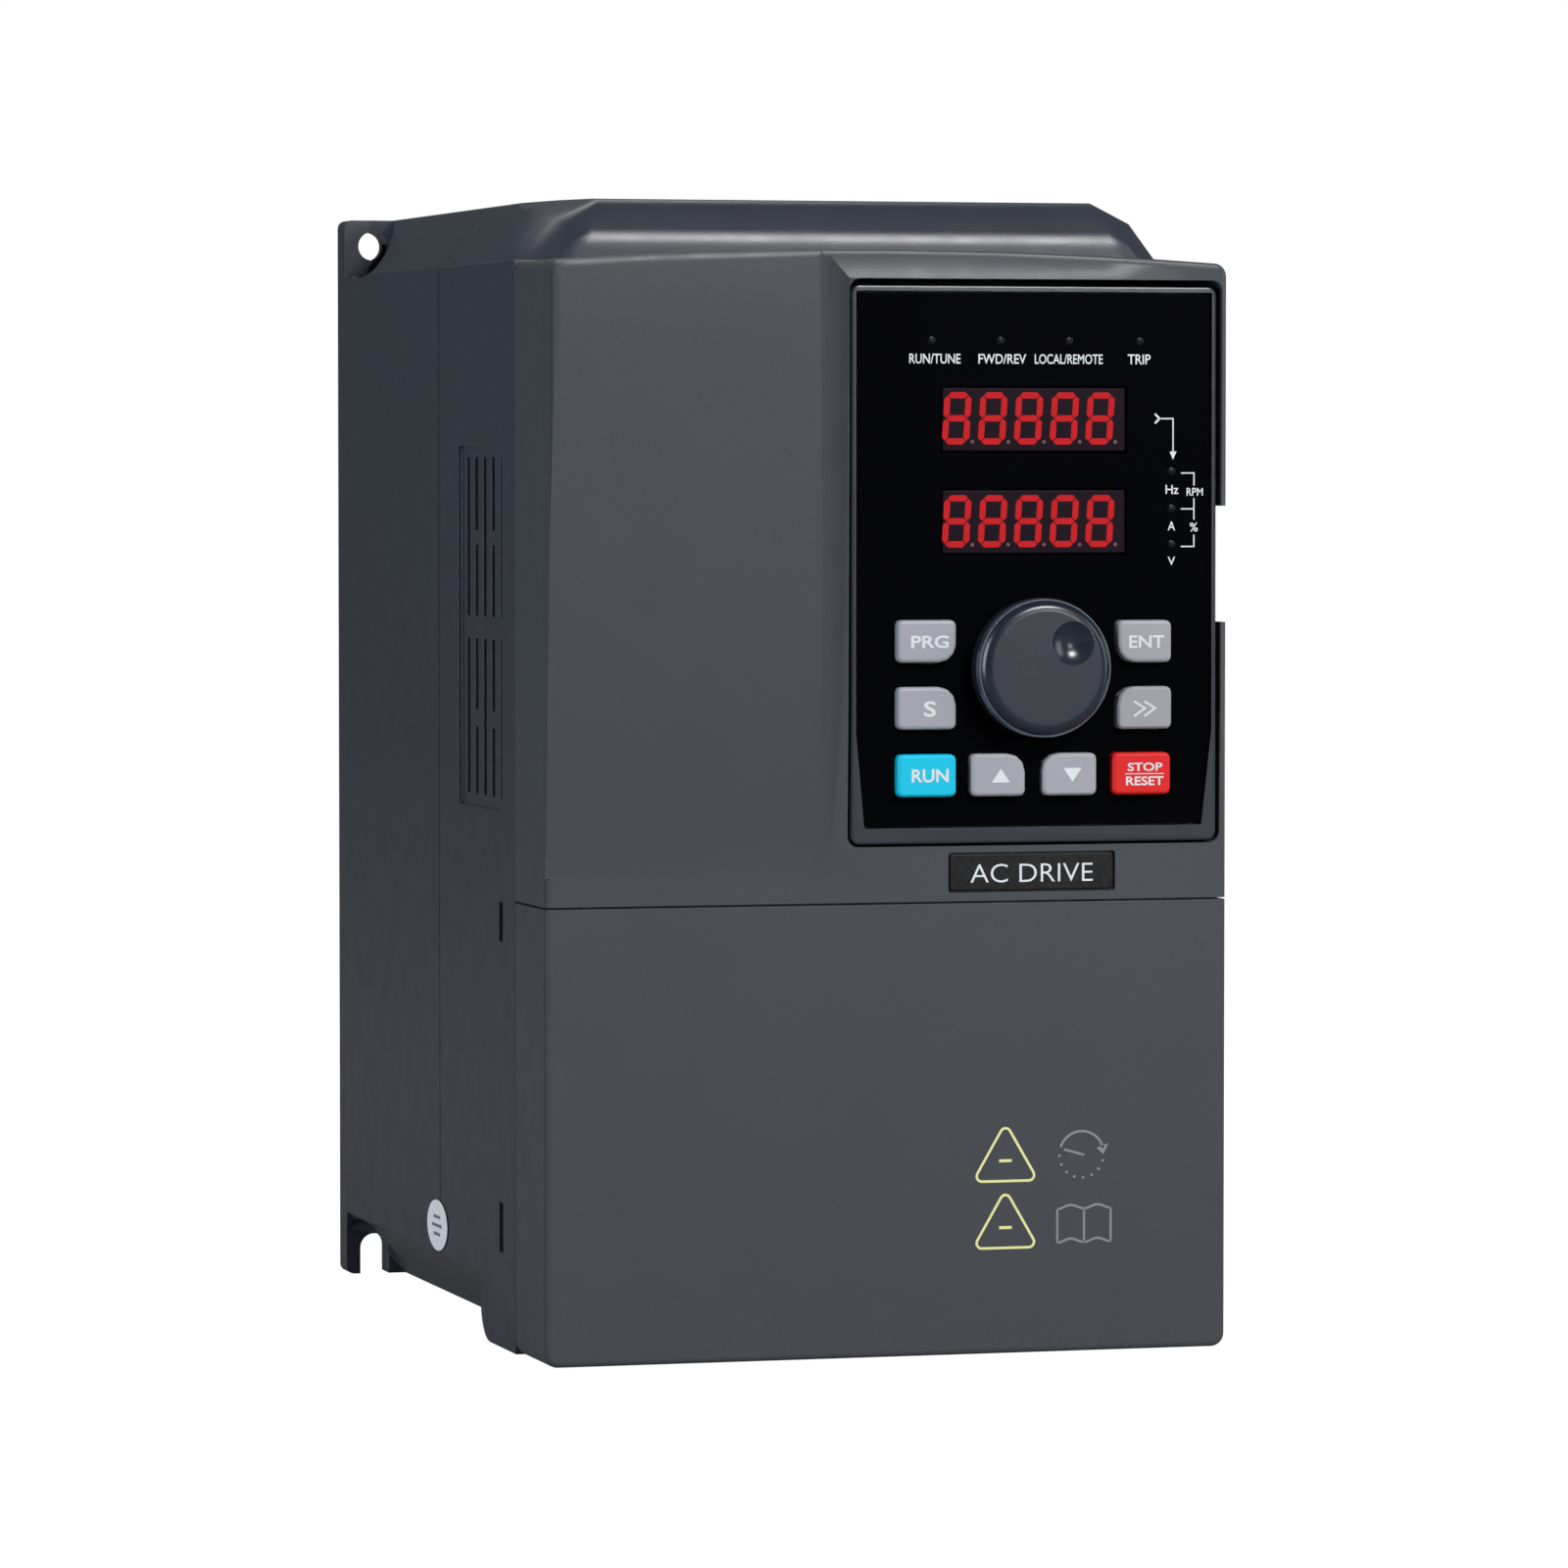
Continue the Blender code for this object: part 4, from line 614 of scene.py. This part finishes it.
LEGEND_KEYS = ("key_prg", "key_s", "key_run", "key_up", "key_down", "key_stop", "key_ent", "key_shift")
KEY_WORDS = {
    "key_prg": [("PRG", (62.1, 118.1), (68.6, 120.2))],
    "key_s": [("S", (64.3, 106.7), (66.4, 109.3))],
    "key_run": [("RUN", (62.2, 95.8), (68.6, 98.0))],
    "key_ent": [("ENT", (100.1, 117.9), (106.3, 120.0))],
    "key_stop": [("STOP", (99.9, 97.3), (106.0, 98.7)), ("RESET", (99.6, 94.9), (106.2, 96.4))],
}
KEY_WEIGHT = 0.02
STOP_RULE = ((99.4, 96.85), (106.3, 96.85))
STOP_RULE_WIDTH = 0.15
ARROW_MIDDLE_Z = 96.8
ARROW_WIDTH = 3.2
ARROW_HEIGHT = 2.3
ARROW_SHIFT = 0.4
SHIFT_TIPS = (102.9, 104.7)
SHIFT_BACK = 1.9
SHIFT_LEVELS = (109.0, 107.8, 106.5)
SHIFT_LINE = 0.38


def key_arrow(key, middle):
    """A triangle that points up on the up key and down on the down key."""
    rise = ARROW_HEIGHT / 2 if key == "key_up" else -ARROW_HEIGHT / 2
    base, tip = ARROW_MIDDLE_Z - rise, ARROW_MIDDLE_Z + rise
    return [(middle - ARROW_WIDTH / 2, base), (middle + ARROW_WIDTH / 2, base), (middle, tip)]


def key_legends():
    for key in LEGEND_KEYS:
        low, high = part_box(key)
        back, front = print_depths((low.y - CORNER.y) / MM)
        bm = bmesh.new()
        for words, corner_low, corner_high in KEY_WORDS.get(key, []):
            add_words(bm, words, corner_low, corner_high, back, front, KEY_WEIGHT)
        if key == "key_stop":
            add_line(bm, STOP_RULE, STOP_RULE_WIDTH, back, front)
        if key in ("key_up", "key_down"):
            middle = ((low.x + high.x) / 2 - CORNER.x) / MM + ARROW_SHIFT
            add_plate(bm, key_arrow(key, middle), back, front)
        if key == "key_shift":
            for tip in SHIFT_TIPS:
                chevron = list(zip((tip - SHIFT_BACK, tip, tip - SHIFT_BACK), SHIFT_LEVELS))
                add_line(bm, chevron, SHIFT_LINE, back, front)
        add_piece(f"{key}_legend", bm, LOOKS["print_white"], key)


# The lip inside the joint between the two halves of the case, which closes the seam to light.

LIP_REACH = 1.6
LIP_INSETS = (2.5, 3.4)
LIP_CORNERS = ((8.0, 193.0), (0.0, 182.5), (0.0, 11.5), (11.0, 0.0))


def lip_ring(inside, y):
    """The case's section at a depth, shrunk towards its middle."""
    middle_x, middle_z = WIDTH / 2, HEIGHT / 2
    across, up = 1 - inside / middle_x, 1 - inside / middle_z
    corners = [*LIP_CORNERS, *[(WIDTH - x, z) for x, z in reversed(LIP_CORNERS)]]
    return [(middle_x + (x - middle_x) * across, y, middle_z + (z - middle_z) * up) for x, z in corners]


def case_lip():
    seam = (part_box("middle_housing")[1].y - CORNER.y) / MM
    outer, inner = LIP_INSETS
    front, back = seam - LIP_REACH, seam + LIP_REACH
    bm = bmesh.new()
    rings = [lip_ring(outer, front), lip_ring(outer, back), lip_ring(inner, back), lip_ring(inner, front)]
    add_rings(bm, rings, closed=True)
    add_piece("case_lip", bm, FINISHES["case_plastic"], "case")


# Prints on the case.

TRIANGLE = ((73.4, 0.0), (84.8, 0.0), (79.1, 9.75))
TRIANGLE_BOTTOMS = (28.95, 17.75)
TRIANGLE_CORNER = 0.9
TRIANGLE_LINE = 0.42
TRIANGLE_BAR = ((78.0, 3.4), (80.2, 3.4))
TRIANGLE_BAR_WIDTH = 0.5

DIAL = (92.45, 33.1)
DIAL_RADIUS = 3.9
DIAL_ARC = (160, 15)
DIAL_LINE = 0.4
DIAL_TIP = ((95.1, 34.1), (97.2, 34.9), (96.3, 33.0))
DIAL_HAND = ((89.4, 34.0), (92.9, 33.0))
DIAL_DOTS = 8
DIAL_DOT_FIRST = 182
DIAL_DOT_PITCH = 23
DIAL_DOT_RADIUS = 0.24
DIAL_DOT_STEPS = 10

BOOK_X = (88.2, 92.9, 97.6)
BOOK_LEVELS = (18.35, 24.0)
BOOK_LINE = 0.38
BOOK_WAVE = 0.32
BOOK_STEPS = 24


def warning_triangles():
    """Two rounded triangles, blank but for a plain bar."""
    back, front = print_depths(0.0)
    bm = bmesh.new()
    for bottom in TRIANGLE_BOTTOMS:
        corners = rounded([(x, bottom + up) for x, up in TRIANGLE], TRIANGLE_CORNER)
        add_line(bm, corners, TRIANGLE_LINE, back, front, closed=True)
        bar = [(x, bottom + up) for x, up in TRIANGLE_BAR]
        add_line(bm, bar, TRIANGLE_BAR_WIDTH, back, front)
    add_piece("cover_triangles", bm, LOOKS["print_yellow"], "terminal_cover")


def add_dial(bm, back, front):
    """A plain dial: an arc that ends in an arrow, a hand, and dots along its lower half."""
    add_line(bm, arc(DIAL, DIAL_RADIUS, *DIAL_ARC), DIAL_LINE, back, front)
    add_plate(bm, DIAL_TIP, back, front)
    add_line(bm, DIAL_HAND, DIAL_LINE, back, front)
    for i in range(DIAL_DOTS):
        angle = math.radians(DIAL_DOT_FIRST + DIAL_DOT_PITCH * i)
        dot = (DIAL[0] + DIAL_RADIUS * math.cos(angle), DIAL[1] + DIAL_RADIUS * math.sin(angle))
        add_plate(bm, disc(dot, DIAL_DOT_RADIUS, DIAL_DOT_STEPS), back, front)


def add_book(bm, back, front):
    """An open book with wavy edges and no writing."""
    left, _, right = BOOK_X
    for level in BOOK_LEVELS:
        wave = []
        for i in range(BOOK_STEPS + 1):
            share = i / BOOK_STEPS
            rise = BOOK_WAVE * (1 - math.cos(2 * math.tau * share))
            wave.append((left + (right - left) * share, level + rise))
        add_line(bm, wave, BOOK_LINE, back, front)
    for x in BOOK_X:
        add_line(bm, [(x, level) for level in BOOK_LEVELS], BOOK_LINE, back, front)


def cover_symbols():
    """A plain dial and an open book, in grey."""
    back, front = print_depths(0.0)
    bm = bmesh.new()
    add_dial(bm, back, front)
    add_book(bm, back, front)
    add_piece("cover_symbols", bm, LOOKS["print_grey"], "terminal_cover")


NAME_BOX = ((73.0, 78.9), (94.4, 82.0))
NAME_WEIGHT = -0.008


def nameplate_words():
    back, front = print_depths((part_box("nameplate")[0].y - CORNER.y) / MM)
    bm = bmesh.new()
    add_words(bm, "AC DRIVE", *NAME_BOX, back, front, NAME_WEIGHT)
    add_piece("nameplate_words", bm, LOOKS["print_white"], "case")


# Bars on the sticker: how far above its middle, and half their length.
STICKER_BARS = ((1.5, 2.4), (0.0, 3.6), (-1.5, 2.4))
STICKER_BAR_HALF = 0.28


def sticker_print():
    """Three plain bars on the oval sticker."""
    low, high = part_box("sticker")
    inner, outer = print_depths((low.x - CORNER.x) / MM)
    y = ((low.y + high.y) / 2 - CORNER.y) / MM
    middle_z = ((low.z + high.z) / 2 - CORNER.z) / MM
    bm = bmesh.new()
    for up, half in STICKER_BARS:
        z = middle_z + up
        bar = rectangle((y - half, z - STICKER_BAR_HALF), (y + half, z + STICKER_BAR_HALF))
        add_side_plate(bm, bar, inner, outer)
    add_piece("sticker_print", bm, LOOKS["print_grey"], "case")


def smooth(made):
    made.data.shade_smooth()
    made.data.set_sharp_from_angle(angle=CREASE)


# Looks of the added pieces.
LOOKS = {
    "print_white": finish("print_white", (0.62, 0.64, 0.66), 0.55, vary=0.03, relief=0.0),
    "print_yellow": finish("print_yellow", (0.7, 0.68, 0.3), 0.55, vary=0.03, relief=0.0),
    "print_grey": finish("print_grey", (0.2, 0.21, 0.23), 0.55, vary=0.03, relief=0.0),
    "dial_metal": finish("dial_metal", (0.1, 0.115, 0.14), 0.22, relief=0.0, metallic=0.6),
    "lamp_lens": finish("lamp_lens", (0.004, 0.004, 0.005), 0.3, relief=0.0, gloss=0.15),
    "led_red": glowing("led_red", (0.5, 0.01, 0.014), 0.9),
    "led_dim": finish("led_dim", (0.09, 0.035, 0.04), 0.4, relief=0.0),
}


def graphics():
    panel_legends()
    lamps()
    for name, low in DIGIT_ROWS.items():
        display_digits(name, low)
    dial_band()
    case_lip()
    key_legends()
    warning_triangles()
    cover_symbols()
    nameplate_words()
    sticker_print()


make_camera()
make_light()
make_floor()
dress_nodes()
graphics()
